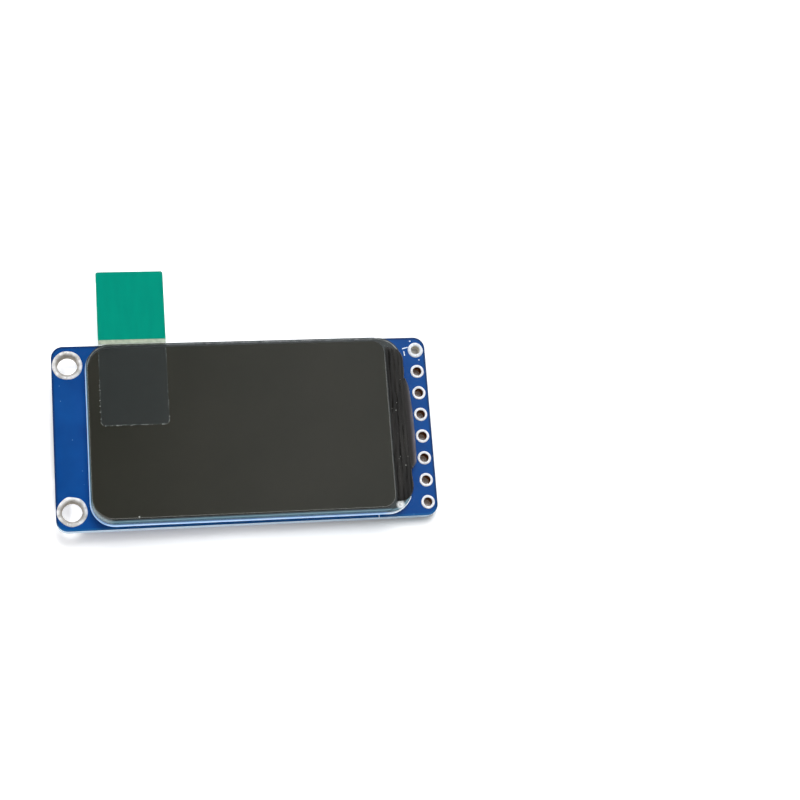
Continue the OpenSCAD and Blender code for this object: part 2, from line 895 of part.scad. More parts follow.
module capacitor_body(y) {
    color("tan")
        chip_body(capacitor_row_x, y, capacitor_h);
}

module capacitor_ends(y) {
    color("gainsboro")
        chip_ends(capacitor_row_x, y, capacitor_h);
}

module resistor_body(y) {
    color("dimgray")
        chip_body(resistor_row_x, y, resistor_h);
}

module resistor_ends(y) {
    color("gainsboro")
        chip_ends(resistor_row_x, y, resistor_h);
}

// Moulded body, widest in a flat band at mid height where the leads come out
module package_body(at) {
    half_w = package_w / 2;
    narrow = half_w - package_draft;
    on_rear()
        translate([at[0], 0, land_t])
            slice(at[1], package_l)
                polygon([
                    [-narrow, package_gap], [narrow, package_gap],
                    [half_w, package_mid - package_band / 2],
                    [half_w, package_mid + package_band / 2],
                    [narrow, package_h], [-narrow, package_h],
                    [-half_w, package_mid + package_band / 2],
                    [-half_w, package_mid - package_band / 2]
                ]);
}

// Three bent leads: a shoulder out of the body, a drop and a foot on the land
module three_leads(at) {
    bend = lead_reach / 2;
    on_rear()
        for (lead = package_leads)
            translate([at[0], at[1] + lead[1], land_t])
                mirror([lead[0] < 0 ? 1 : 0, 0, 0])
                    translate([package_w / 2, 0, 0])
                        slice(0, lead_w) {
                            translate([0, package_mid - lead_t / 2])
                                square([bend, lead_t]);
                            translate([bend - lead_t, 0])
                                square([lead_t, package_mid + lead_t / 2]);
                            translate([bend - lead_t, 0])
                                square([lead_reach - bend + lead_t, lead_t]);
                        }
}

module regulator_body() {
    color("#3b332c")
        package_body(regulator_at);
}

module regulator_leads() {
    color("gainsboro")
        three_leads(regulator_at);
}

module transistor_body() {
    color("#3b332c")
        package_body(transistor_at);
}

module transistor_leads() {
    color("gainsboro")
        three_leads(transistor_at);
}

pcb();
mounting_hole_rings();
header_hole_rings();
solder_pads();
panel_mount_tape();
backlight_reflector();
backlight_frame();
light_guide();
backlight_leds();
backlight_led_strip();
diffuser_film();
lower_prism_film();
upper_prism_film();
light_shield_tape();
rear_polarizer();
tft_glass();
colour_filter_glass();
front_polarizer();
driver_chip();
ledge_sealant();
panel_flex();
protective_film();
pull_tab_tape();
pull_tab();
connector_housing();
connector_lid();
connector_contacts();
connector_hold_downs();
for (i = [0:3]) {
    capacitor_body(capacitor_y[i]);
    capacitor_ends(capacitor_y[i]);
    resistor_body(resistor_y[i]);
    resistor_ends(resistor_y[i]);
}
regulator_body();
regulator_leads();
transistor_body();
transistor_leads();
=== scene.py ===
"""Dresses a small display module with its finishes, solder, ink, films and dust.

Lengths are millimetres in the module's own frame, with X from the mounting holes to the
header holes, Y across the board and Z out of the screen, until build() makes them metres.
"""
import json
import math

import bmesh
import bpy
import numpy as np
from mathutils import Euler, Matrix, Vector


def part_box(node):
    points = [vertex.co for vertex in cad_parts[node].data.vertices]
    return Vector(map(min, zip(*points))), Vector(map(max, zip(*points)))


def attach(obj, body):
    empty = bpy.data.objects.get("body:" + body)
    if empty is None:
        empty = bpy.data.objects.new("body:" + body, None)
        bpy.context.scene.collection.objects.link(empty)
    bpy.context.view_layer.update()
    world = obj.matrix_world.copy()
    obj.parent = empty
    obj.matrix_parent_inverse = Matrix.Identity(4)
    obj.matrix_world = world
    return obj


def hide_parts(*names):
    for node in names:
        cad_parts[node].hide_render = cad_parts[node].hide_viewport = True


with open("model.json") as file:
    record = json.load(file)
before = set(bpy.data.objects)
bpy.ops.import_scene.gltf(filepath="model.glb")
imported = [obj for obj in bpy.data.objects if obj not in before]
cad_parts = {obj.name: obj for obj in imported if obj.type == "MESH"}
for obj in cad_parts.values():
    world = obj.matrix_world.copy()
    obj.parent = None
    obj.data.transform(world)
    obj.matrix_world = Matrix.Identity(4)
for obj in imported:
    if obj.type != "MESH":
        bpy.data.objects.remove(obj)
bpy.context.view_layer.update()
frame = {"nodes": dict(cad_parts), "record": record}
nodes = frame["nodes"]
MM = 0.001


# Sizes and places of the solids

def box_of(node):
    """Lowest and highest corner of a solid."""
    return [np.array(corner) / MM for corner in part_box(node)]


board_low, board_high = box_of("pcb")
REAR, FRONT = board_low[2], board_high[2]
BOARD_CORNER_R = 1.3
PLATING, LAND_T = 0.05, 0.05

mount_high = box_of("mounting_hole_rings")[1]
MOUNT_RING_R = mount_high[0]
MOUNT_HOLE_R = frame["record"]["mounts"][0]["dims"]["hole_r_mm"]
MOUNT_Y = mount_high[1] - MOUNT_RING_R
MOUNT_AXIS = (0, MOUNT_Y, 0)

header_low, header_high = box_of("header_hole_rings")
HEADER_X = (header_low[0] + header_high[0]) / 2
HEADER_RING_R = (header_high[0] - header_low[0]) / 2
HEADER_HOLE_R = 0.5
HEADER_COUNT = 8
HEADER_Y = np.linspace(header_high[1] - HEADER_RING_R, header_low[1] + HEADER_RING_R, HEADER_COUNT)
FIRST_RING_R = 0.88

housing_low, housing_high = box_of("connector_housing")
contacts_high = box_of("connector_contacts")[1]
clip_low, clip_high = box_of("connector_hold_downs")
CONTACT_COUNT, CONTACT_PITCH = 8, 0.5
CONTACT_Y = CONTACT_PITCH * (np.arange(CONTACT_COUNT) - (CONTACT_COUNT - 1) / 2)

glass_low, glass_high = box_of("tft_glass")
GLASS_CORNER_R = 2.6
BARE_CORNER = (36.0, -9.35)
panel_low, panel_high = box_of("backlight_frame")
film_low, film_high = box_of("protective_film")
FILM_NEAR_R, FILM_FAR_R = 2.48, 1.4
sealant_low, sealant_high = box_of("ledge_sealant")
flex_low, flex_high = box_of("panel_flex")
FLEX_T, FLEX_CORNER_R = 0.1, 1.0
FLEX_FULL_Y, FLEX_SLACK = -1.5, 0.35
tape_low, tape_high = box_of("pull_tab_tape")
TAPE_CORNER_R = 0.5
tab_low = box_of("pull_tab")[0]

CHIPS_A_KIND = 4
CHIPS = [f"{kind}_{i + 1}" for kind in ("capacitor", "resistor") for i in range(CHIPS_A_KIND)]
PACKAGES = ("regulator", "transistor")
PAIRED_LEAD_Y, LEAD_LAND_W = 0.95, 0.6


# Meshes

WELD_GAP = 1e-4


def quads(rows, columns, wrap_rows=False, wrap_columns=False):
    """Corner numbers of a grid's faces. A direction that wraps joins its last line to its first."""
    row, column = np.meshgrid(
        np.arange(rows if wrap_rows else rows - 1),
        np.arange(columns if wrap_columns else columns - 1),
        indexing="ij",
    )
    next_row, next_column = (row + 1) % rows, (column + 1) % columns
    corners = [
        row * columns + column,
        next_row * columns + column,
        next_row * columns + next_column,
        row * columns + next_column,
    ]
    return np.stack(corners, axis=-1).reshape(-1, 4)


def build(name, parts, material, sharp=40):
    """One piece from closed (points, faces) parts: points that coincide are merged, faces turned
    outwards, and edges sharper than that angle in degrees stay crisp."""
    starts = np.cumsum([0] + [len(points) for points, _ in parts])
    points = np.concatenate([points for points, _ in parts]) * MM
    faces = np.concatenate([faces + start for (_, faces), start in zip(parts, starts)])
    mesh = bpy.data.meshes.new(name)
    mesh.from_pydata(points.tolist(), [], faces.tolist())
    shell = bmesh.new()
    shell.from_mesh(mesh)
    bmesh.ops.remove_doubles(shell, verts=shell.verts, dist=WELD_GAP * MM)
    bmesh.ops.recalc_face_normals(shell, faces=shell.faces)
    shell.to_mesh(mesh)
    shell.free()
    mesh.shade_smooth()
    mesh.set_sharp_from_angle(angle=math.radians(sharp))
    mesh.materials.append(material)
    piece = bpy.data.objects.new(name, mesh)
    bpy.context.scene.collection.objects.link(piece)
    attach(piece, "module")
    return piece


def ripple(x, y, size, seed):
    """Smooth unevenness between about -1 and 1: the sum of waves in random directions, each
    about size long."""
    draw = np.random.default_rng(seed)
    count = 7
    turn, phase = draw.uniform(0, 2 * np.pi, (2, count))
    length = size * draw.uniform(0.7, 1.5, count)
    along = x[..., None] * np.cos(turn) + y[..., None] * np.sin(turn)
    return np.sin(2 * np.pi * along / length + phase).sum(axis=-1) / math.sqrt(2 * count)


def lathe(profile, centre, sides):
    """A closed loop of (radius, height) points turned about an upright axis."""
    angle = np.linspace(0, 2 * np.pi, sides, endpoint=False)[:, None]
    radius, height = np.asarray(profile, float).T
    x = centre[0] + radius * np.cos(angle)
    y = centre[1] + radius * np.sin(angle)
    points = np.stack([x, y, np.broadcast_to(height, x.shape)], axis=-1)
    return points.reshape(-1, 3), quads(sides, len(profile), True, True)


def mound(x, y, height, base, up):
    """A lump on a flat base: a grid of places raised by height, which is 0 along its rim, and the
    same grid left flat under it."""
    top = np.stack([x, y, base + up * height], axis=-1)
    flat = np.stack([x, y, np.full_like(x, base)], axis=-1)
    faces = quads(*x.shape)
    points = np.concatenate([top.reshape(-1, 3), flat.reshape(-1, 3)])
    return points, np.concatenate([faces, faces[:, ::-1] + x.size])


STROKE_CLIMB = 0.004


def stroke(path, width, low, high):
    """A flat line along points: a rectangle carried along them, mitred at the bends, which narrows
    beyond each end as a circle does. Its top climbs a little from one end to the other, so that
    a line which meets itself has no two faces in one plane."""
    path = np.asarray(path, float)
    half = width / 2
    step = np.diff(path, axis=0)
    step /= np.linalg.norm(step, axis=1, keepdims=True)
    before = np.vstack([step[:1], step])
    after = np.vstack([step, step[-1:]])
    middle = before + after
    middle /= np.linalg.norm(middle, axis=1, keepdims=True)
    cosine = np.clip((middle * after).sum(axis=1, keepdims=True), 0.5, 1)
    side = np.stack([-middle[:, 1], middle[:, 0]], axis=1) / cosine * half
    cap = np.radians([90, 65, 40, 18])[:, None]
    line = np.vstack([
        path[:1] - step[:1] * half * np.sin(cap),
        path,
        path[-1:] + step[-1:] * half * np.sin(cap[::-1]),
    ])
    side = np.vstack([side[:1] * np.cos(cap), side, side[-1:] * np.cos(cap[::-1])])
    top = high + math.copysign(STROKE_CLIMB, high - low) * np.linspace(0, 1, len(line))
    base = np.full(len(line), low)
    corners = [(line + side, base), (line + side, top), (line - side, top), (line - side, base)]
    points = np.stack([np.column_stack(corner) for corner in corners], axis=1)
    return points.reshape(-1, 3), quads(len(line), len(corners), wrap_columns=True)


def arc(x, y, rx, ry, start, end, count=12):
    """Points along part of an ellipse, from one angle to another in degrees."""
    angle = np.radians(np.linspace(start, end, count))
    return np.column_stack([x + rx * np.cos(angle), y + ry * np.sin(angle)])


# Patterns of the finishes

COLOUR = {"data_type": "RGBA", "out": 2}


def linear(code):
    """Linear RGBA of an sRGB hex colour."""
    srgb = np.array([int(code[i:i + 2], 16) for i in (1, 3, 5)]) / 255
    rgb = np.where(srgb <= 0.04045, srgb / 12.92, ((srgb + 0.055) / 1.055) ** 2.4)
    return (*rgb.tolist(), 1.0)


def add(tree, kind, inputs=None, out=0, **settings):
    """Adds a node with its settings, fills its inputs with links, hex colours or values, and gives
    the output that is asked for."""
    made = tree.nodes.new("ShaderNode" + kind)
    for name, value in settings.items():
        setattr(made, name, value)
    for key, value in (inputs or {}).items():
        if isinstance(value, bpy.types.NodeSocket):
            tree.links.new(value, made.inputs[key])
        else:
            made.inputs[key].default_value = linear(value) if isinstance(value, str) else value
    return made.outputs[out]


def finish(name, **sockets):
    """New material, its tree and its shader, with constants set on the shader's own sockets."""
    made = bpy.data.materials.new(name)
    made.use_nodes = True
    shader = made.node_tree.nodes["Principled BSDF"]
    for key, value in sockets.items():
        shader.inputs[key.replace("_", " ")].default_value = value
    return made, made.node_tree, shader


def paint(shader, socket, pattern):
    """Lets a pattern drive one of the shader's sockets."""
    shader.id_data.links.new(pattern, shader.inputs[socket])


def uneven(tree, size, low, high, stretch=(1, 1, 1)):
    """Value that wanders between low and high over patches about size millimetres wide."""
    place = add(tree, "TexCoord", out="Object")
    place = add(tree, "Mapping", {"Vector": place, "Scale": stretch})
    noise = add(tree, "TexNoise", {"Vector": place, "Scale": 1 / (size * MM)})
    spread = {"Value": noise, "From Min": 0.3, "From Max": 0.7}
    return add(tree, "MapRange", {**spread, "To Min": low, "To Max": high})


def mottle(tree, size, one, other, stretch=(1, 1, 1)):
    """Colour that wanders between two over patches about size millimetres wide."""
    share = uneven(tree, size, 0, 1, stretch)
    return add(tree, "Mix", {0: share, 6: one, 7: other}, **COLOUR)


def grain(shader, size, depth, stretch=(1, 1, 1)):
    """Tilts the surface as hills about size millimetres wide and depth millimetres high would."""
    tree = shader.id_data
    height = uneven(tree, size, 0, 1, stretch)
    paint(shader, "Normal", add(tree, "Bump", {"Height": height, "Distance": depth * MM}))


def dots(tree, spacing, radius, share):
    """1 inside scattered round dots and 0 elsewhere. Each cell of a grid about spacing wide holds
    one dot or, outside that share of the cells, none."""
    place = add(tree, "TexCoord", out="Object")
    cells = {"Vector": place, "Scale": 1 / (spacing * MM)}
    away, tint = add(tree, "TexVoronoi", cells, out=slice(2))
    far, near = radius / spacing, 0.6 * radius / spacing
    inside = add(tree, "MapRange", {"Value": away, "From Min": far, "From Max": near})
    red = add(tree, "SeparateColor", {"Color": tint}, out="Red")
    chosen = add(tree, "Math", {0: red, 1: share}, operation="LESS_THAN")
    return add(tree, "Math", {0: inside, 1: chosen}, operation="MULTIPLY")


def edge_share(tree, low, high, corner, inner, outer):
    """0 farther than inner millimetres inside a rounded rectangle's outline, 1 nearer than outer.
    The distance to the outline is that of a box shrunk by the corner's radius, less the radius."""
    centre = tuple((low + high) / 2 * MM)
    half = tuple((high - low) / 2 * MM - corner * MM)
    place = add(tree, "TexCoord", out="Object")
    place = add(tree, "VectorMath", {0: place, 1: centre}, operation="SUBTRACT")
    place = add(tree, "VectorMath", {0: place}, operation="ABSOLUTE")
    place = add(tree, "VectorMath", {0: place, 1: half}, operation="SUBTRACT")
    past = add(tree, "VectorMath", {0: place, 1: (0, 0, 0)}, operation="MAXIMUM")
    past = add(tree, "VectorMath", {0: past, 1: (1, 1, 0)}, operation="MULTIPLY")
    past = add(tree, "VectorMath", {0: past}, operation="LENGTH", out="Value")
    x, y = add(tree, "SeparateXYZ", {0: place}, out=slice(2))
    within = add(tree, "Math", {0: x, 1: y}, operation="MAXIMUM")
    within = add(tree, "Math", {0: within, 1: 0.0}, operation="MINIMUM")
    reach = add(tree, "Math", {0: past, 1: within}, operation="ADD")
    span = {"Value": reach, "From Min": (corner - inner) * MM, "From Max": (corner - outer) * MM}
    return add(tree, "MapRange", span)


def ramp(tree, axis, start, end, low=0.0, high=1.0):
    """Value that goes from low to high between two places along an axis and is level past them."""
    place = add(tree, "TexCoord", out="Object")
    at = add(tree, "SeparateXYZ", {0: place}, out=axis)
    span = {"Value": at, "From Min": start * MM, "From Max": end * MM}
    return add(tree, "MapRange", {**span, "To Min": low, "To Max": high})


def spot(tree, centre, outer, inner, most=1.0, pair=False):
    """0 farther than outer millimetres from a point, most nearer than inner. A pair has an upright
    axis through the point and one through its mirror image, and the nearer of them counts."""
    place = add(tree, "TexCoord", out="Object")
    if pair:
        place = add(tree, "VectorMath", {0: place}, operation="ABSOLUTE")
        place = add(tree, "VectorMath", {0: place, 1: (1, 1, 0)}, operation="MULTIPLY")
    ends = {0: place, 1: tuple(np.multiply(centre, MM))}
    away = add(tree, "VectorMath", ends, operation="DISTANCE", out="Value")
    span = {"Value": away, "From Min": outer * MM, "From Max": inner * MM}
    return add(tree, "MapRange", {**span, "To Max": most})


def ridges(tree, pitch):
    """Value that rises and falls across Y once every pitch millimetres. A wave of scale 1 is a
    twentieth of a full turn in radians long."""
    place = add(tree, "TexCoord", out="Object")
    wave = {"Vector": place, "Scale": 2 * math.pi / 20 / (pitch * MM)}
    return add(tree, "TexWave", wave, out="Fac", bands_direction="Y")


def mottled(name, size, one, other, bumps=None, stretch=(1, 1, 1), **sockets):
    """New material whose colour wanders between two over patches about size millimetres wide. Bumps
    are the width and height of its grain, where it has one."""
    made, tree, shader = finish(name, **sockets)
    paint(shader, "Base Color", mottle(tree, size, one, other, stretch))
    if bumps:
        grain(shader, *bumps)
    return made


# Finishes of the board

def solder_mask():
    """Photo-imaged epoxy mask over copper: a deep glossy blue, darker along the outline, with fine
    dust. On the near side painted light lifts that darker rim where the panel's shadow falls. The
    routed edge shows pale laminate in layers of cloth."""
    made, tree, shader = finish("solder_mask", Roughness=0.15, Specular_IOR_Level=0.25)
    mask = mottle(tree, 3.0, "#003a7a", "#014285")
    # Darker rim along the outline; painted light makes it lighter on the near side, where the panel's
    # shadow falls.
    rim = edge_share(tree, board_low, board_high, BOARD_CORNER_R, 0.3, 0.15)
    near = ramp(tree, "Y", board_low[1] + 1.0, board_low[1] + 0.5)
    bare = add(tree, "Mix", {0: near, 6: "#0a2f5e", 7: "#0d4f84"}, **COLOUR)
    mask = add(tree, "Mix", {0: rim, 6: mask, 7: bare}, **COLOUR)
    dust = dots(tree, 1.1, 0.06, 0.3)
    mask = add(tree, "Mix", {0: dust, 6: mask, 7: "#5f87b2"}, **COLOUR)
    laminate = mottle(tree, 1.2, "#9bb9d1", "#c3dbed", stretch=(1, 1, 9))
    normal = add(tree, "NewGeometry", out="Normal")
    upright = add(tree, "SeparateXYZ", {0: normal}, out="Z")
    flat = add(tree, "Math", {0: upright}, operation="ABSOLUTE")
    flat = add(tree, "Math", {0: flat, 1: 0.5}, operation="GREATER_THAN")
    paint(shader, "Base Color", add(tree, "Mix", {0: flat, 6: laminate, 7: mask}, **COLOUR))
    grain(shader, 0.5, 0.001)
    return made


def bare_mask():
    """The same mask where no copper lies under it: a darker, purpler line beside each trace."""
    return mottled("mask_over_laminate", 1.0, "#0c2766", "#06306c", Roughness=0.2, Specular_IOR_Level=0.25)


def tented_mask():
    """Mask sunk over a plated via: a green-grey ring."""
    return mottled("tented_via", 0.2, "#1c4a5e", "#3f7468", Roughness=0.3)


def hot_air_tin():
    """Solder levelled with hot air: white, half-dull tin that froze in small waves."""
    made, tree, shader = finish("hot_air_tin", Metallic=0.4)
    paint(shader, "Base Color", mottle(tree, 0.6, "#c4bfb7", "#e6e3dd"))
    paint(shader, "Roughness", uneven(tree, 0.35, 0.22, 0.42))
    grain(shader, 0.5, 0.015)
    return made


def plated_hole(name, wall, deep_wall, dull, bright):
    """Uneven tin round both ends of a hole, with a plated wall of one colour towards the front and
    another towards the rear, which paint in the shade and light seen inside the hole."""
    made, tree, shader = finish(name, Specular_IOR_Level=0.12)
    front_end = ramp(tree, "Z", FRONT - 0.05, FRONT + 0.01)
    rear_end = ramp(tree, "Z", REAR + 0.05, REAR - 0.01)
    mouth = add(tree, "Math", {0: front_end, 1: rear_end}, operation="MAXIMUM")
    # Painted shade and light inside the hole: the wall's colour changes from front to rear.
    depth = ramp(tree, "Z", 0.15, 0.55)
    wall_with_painted_shade = add(tree, "Mix", {0: depth, 6: deep_wall, 7: wall}, **COLOUR)
    ring = mottle(tree, 0.5, dull, bright)
    paint(shader, "Base Color", add(tree, "Mix", {0: mouth, 6: wall_with_painted_shade, 7: ring}, **COLOUR))
    paint(shader, "Metallic", add(tree, "MapRange", {"Value": mouth, "To Max": 0.3}))
    gloss = {0: mouth, 2: 0.8, 3: uneven(tree, 0.3, 0.25, 0.42)}
    paint(shader, "Roughness", add(tree, "Mix", gloss))
    grain(shader, 0.35, 0.02)
    return made


def mount_tin():
    """The same at the mounting holes: a bright rim, with painted shade greying it towards the hole."""
    made = plated_hole("dull_mount_tin", "#f1ece4", "#f5f2ec", "#bfbdb9", "#f1f1f3")
    tree = made.node_tree
    shader = tree.nodes["Principled BSDF"]
    plain = shader.inputs["Base Color"].links[0].from_socket
    # Painted shade: the tin greys towards the hole's mouth.
    painted_hole_shade = spot(tree, MOUNT_AXIS, MOUNT_HOLE_R + 0.32, MOUNT_HOLE_R + 0.12, pair=True)
    ring_with_painted_shade = add(tree, "Mix", {0: painted_hole_shade, 6: plain, 7: "#bbb7b1"}, blend_type="MULTIPLY", **COLOUR)
    paint(shader, "Base Color", ring_with_painted_shade)
    return made


def screen_ink():
    """White epoxy ink, screen printed: matte, and bluish where the film is thin."""
    return mottled("screen_printed_ink", 0.25, "#c9def1", "#f0f5fa", Roughness=0.6)


# Finishes of the panel

# Where across the board the painted shade along the panel's far side begins, and where it is full
SHADE_START, SHADE_END = 7.0, 8.6


def foam_tape():
    """White double-sided foam tape: matte, with fine pores."""
    return mottled("foam_tape", 0.12, "#d5d6d2", "#ecebe6", (0.08, 0.02), Roughness=0.85)


def white_moulding():
    """Moulded polycarbonate: satin bluish white with a faint painted glow, standing in for light
    through the panel's rim, a painted white highlight and glow at one corner, and painted grey shade
    along the far side."""
    # Painted glow: the frame emits light though it is no lamp.
    made, tree, shader = finish("white_polycarbonate", Roughness=0.35, Emission_Strength=0.7)
    # Painted shade: grey along the far side, with no glow there.
    shade = ramp(tree, "Y", SHADE_START, SHADE_END)
    # Painted white highlight and glow at the corner by the header end, on the near side.
    near = spot(tree, (panel_high[0], panel_low[1], panel_high[2]), 3.4, 1.8)
    white = {0: near, 6: mottle(tree, 1.5, "#bedff8", "#d9f0ff"), 7: "#f4faff"}
    white = add(tree, "Mix", white, **COLOUR)
    paint(shader, "Base Color", add(tree, "Mix", {0: shade, 6: white, 7: "#54585a"}, **COLOUR))
    glow = add(tree, "Mix", {0: near, 6: "#436fad", 7: "#bcc5cb"}, **COLOUR)
    paint(shader, "Emission Color", add(tree, "Mix", {0: shade, 6: glow, 7: "#000000"}, **COLOUR))
    grain(shader, 0.15, 0.004)
    return made


def white_film():
    """Filled white polyester film: matte with a faint cloudiness."""
    return mottled("white_polyester", 0.8, "#e4e6e6", "#f3f4f2", Roughness=0.7)


def ridged_acrylic(name, alpha, pitch):
    """Clear acrylic sheet with fine ridges that catch the light, pitch millimetres apart."""
    made, tree, shader = finish(name, Roughness=0.12, Alpha=alpha, Base_Color=linear("#e3edf3"))
    paint(shader, "Normal", add(tree, "Bump", {"Height": ridges(tree, pitch), "Distance": 0.02 * MM}))
    return made


def phosphor_diode():
    """White diode package with a window of yellow phosphor."""
    return mottled("phosphor_diode", 0.7, "#f0e9c4", "#f5d968", Roughness=0.4)


def black_tape():
    """Black polyester light-shield tape: matte with a faint grain."""
    return mottled("black_polyester_tape", 0.4, "#101010", "#1b1b1a", Roughness=0.55)


def polarizer_film():
    """Iodine-dyed polarizer: very dark with a green-grey cast and a smooth gloss, painted bluer and
    lighter under the pull tab's tape, standing in for the veil and sheen of the tape above."""
    made, tree, shader = finish("iodine_polarizer", Roughness=0.1)
    # Painted veil and sheen of the tape above: bluer and lighter under it.
    open_air = edge_share(tree, tape_low, tape_high, TAPE_CORNER_R, 0.04, 0)
    dyed = {0: open_air, 6: "#313534", 7: mottle(tree, 9.0, "#282923", "#2c2c26")}
    paint(shader, "Base Color", add(tree, "Mix", dyed, **COLOUR))
    return made


def panel_glass():
    """Thin glass over black tape: dark and glossy, teal along its edge with a pale ground line, both
    painted grey with shade along the far side, rough and grey at one ground corner, and a painted
    white glint at the bare corner past the resin, where the white frame shows through."""
    made, tree, shader = finish("ground_edge_glass", Roughness=0.1, Alpha=0.85)
    outline = (tree, glass_low, glass_high, GLASS_CORNER_R)
    rim = edge_share(*outline, 0.36, 0.2)
    line = {0: edge_share(*outline, 0.25, 0.16), 1: edge_share(*outline, 0.13, 0.07)}
    line = add(tree, "Math", line, operation="SUBTRACT", use_clamp=True)
    dark = mottle(tree, 1.2, "#343839", "#444a4b")
    # Painted shade: the edge's teal and pale line turn grey along the far side.
    shade = ramp(tree, "Y", SHADE_START, SHADE_END)
    ground = add(tree, "Mix", {0: shade, 6: "#44626f", 7: "#3a3e3f"}, **COLOUR)
    pane = add(tree, "Mix", {0: rim, 6: dark, 7: ground}, **COLOUR)
    flecks = mottle(tree, 0.7, "#4c5051", "#8b9091")
    pale = add(tree, "Mix", {0: shade, 6: "#6f8c99", 7: flecks}, **COLOUR)
    pane = add(tree, "Mix", {0: line, 6: pane, 7: pale}, **COLOUR)
    rough = {0: spot(tree, glass_low, 2.6, 1.7), 1: uneven(tree, 0.12, 0, 1)}
    rough = add(tree, "Math", rough, operation="MULTIPLY")
    pane = add(tree, "Mix", {0: rough, 6: pane, 7: "#a4abac"}, **COLOUR)
    # Painted glint: a white spot at the bare corner, where the white frame shows through the glass.
    chip = {0: spot(tree, (*BARE_CORNER, glass_high[2]), 0.55, 0.3), 1: uneven(tree, 0.3, 0.4, 1)}
    chip = add(tree, "Math", chip, operation="MULTIPLY")
    paint(shader, "Base Color", add(tree, "Mix", {0: chip, 6: pane, 7: "#f2f5f5"}, **COLOUR))
    return made


def bare_silicon():
    """Bare silicon: dark grey and mirror smooth."""
    return mottled("bare_silicon", 1.0, "#2b2e33", "#3b3f45", Roughness=0.12, Metallic=0.6)


def black_resin():
    """Black potting resin drawn out along the ledge: glossy streaks, lighter and dull between."""
    made, tree, shader = finish("black_potting_resin", Specular_IOR_Level=0.4)
    paint(shader, "Base Color", mottle(tree, 0.3, "#050505", "#21201e", stretch=(1, 0.06, 1)))
    paint(shader, "Roughness", uneven(tree, 0.35, 0.12, 0.45, stretch=(1, 0.1, 1)))
    grain(shader, 0.3, 0.02, stretch=(1, 0.08, 1))
    return made


def polyimide_flex():
    """Polyimide flex: a dark cover film with copper lines 0.22 mm apart under it, and a painted
    violet-grey highlight along the bend."""
    made, tree, shader = finish("polyimide_flex", Roughness=0.35)
    lines = ridges(tree, 0.22)
    copper = add(tree, "Mix", {0: lines, 6: "#131213", 7: "#1e1a19"}, **COLOUR)
    # Painted highlight: violet-grey in patches along the bend.
    bend = ramp(tree, "X", flex_high[0] - 0.6, flex_high[0] - 0.2)
    bend = add(tree, "Math", {0: bend, 1: uneven(tree, 1.2, 0.3, 1)}, operation="MULTIPLY")
    paint(shader, "Base Color", add(tree, "Mix", {0: bend, 6: copper, 7: "#57525f"}, **COLOUR))
    paint(shader, "Normal", add(tree, "Bump", {"Height": lines, "Distance": 0.006 * MM}))
    return made


def protective_film():
    """Clear polyester film that clings to the screen and shows its gloss: only fine dust, and a pale
    painted line where its cut edge scatters light, fainter along the far side as painted shade."""
    made, tree, shader = finish("clear_protective_film", Roughness=0.1, Specular_IOR_Level=0.0)
    dust = dots(tree, 2.8, 0.05, 0.1)
    middle = (film_low[0] + film_high[0]) / 2
    right = ramp(tree, "X", middle, middle + 1)
    near = edge_share(tree, film_low, film_high, FILM_NEAR_R, 0.1, 0.06)
    far = edge_share(tree, film_low, film_high, FILM_FAR_R, 0.1, 0.06)
    cut = add(tree, "Mix", {0: right, 2: near, 3: far})
    # Painted shade: the cut edge's line is fainter along the far side.
    faint = ramp(tree, "Y", SHADE_START, film_high[1], 1.0, 0.25)
    cut = add(tree, "Math", {0: cut, 1: faint}, operation="MULTIPLY")
    marks = add(tree, "Math", {0: dust, 1: cut}, operation="MAXIMUM")
    paint(shader, "Base Color", add(tree, "Mix", {0: marks, 6: "#000000", 7: "#a2a4a0"}, **COLOUR))
    paint(shader, "Alpha", add(tree, "MapRange", {"Value": marks, "To Min": 0.05, "To Max": 0.26}))
    return made


def clear_tape():
    """Clear adhesive tape that clings to the film: pale where air sits under its edges, and greenish
    beige where its adhesive is bare past the panel: dust, with the tab's shade and green cast painted in."""
    made, tree, shader = finish("clear_adhesive_tape", Roughness=0.12, Specular_IOR_Level=0.0)
    rim = edge_share(tree, tape_low, tape_high, TAPE_CORNER_R, 0.12, 0.05)
    lint = {0: rim, 1: uneven(tree, 0.35, -0.15, 0.3)}
    lint = add(tree, "Math", lint, operation="MULTIPLY", use_clamp=True)
    fluff = add(tree, "Math", {0: lint, 1: 8.0}, operation="MULTIPLY", use_clamp=True)
    past_panel = ramp(tree, "Y", panel_high[1] - 0.35, panel_high[1])
    off_tab = ramp(tree, "Y", tab_low[1], tab_low[1] - 0.0005)
    bare = add(tree, "Math", {0: past_panel, 1: off_tab}, operation="MULTIPLY")
    veil = add(tree, "Mix", {0: fluff, 6: "#000000", 7: "#a9b3b2"}, **COLOUR)
    # Past the panel: dust, with the pull tab's shade and green cast painted in.
    dust_and_painted_shade = {0: bare, 6: veil, 7: mottle(tree, 0.4, "#8d9a84", "#abb69c")}
    paint(shader, "Base Color", add(tree, "Mix", dust_and_painted_shade, **COLOUR))
    pale = add(tree, "Math", {0: lint, 1: bare}, operation="MAXIMUM")
    paint(shader, "Alpha", add(tree, "MapRange", {"Value": pale, "To Min": 0.05, "To Max": 0.62}))
    return made


def teal_film():
    """Teal polyester pull tab: even, softly glossy, with a faint lengthwise grain."""
    gloss = {"Roughness": 0.4, "Specular_IOR_Level": 0.04}
    lengthwise = (1, 0.15, 1)
    return mottled("teal_polyester", 0.6, "#018874", "#018e78", (0.4, 0.004), lengthwise, **gloss)


# Finishes of the rear components

def ivory_nylon():
    """Glass-filled nylon in ivory: satin moulding with a fine mottle."""
    return mottled("ivory_glass_filled_nylon", 0.5, "#e6e5df", "#f3f2ee", (0.12, 0.006), Roughness=0.45)


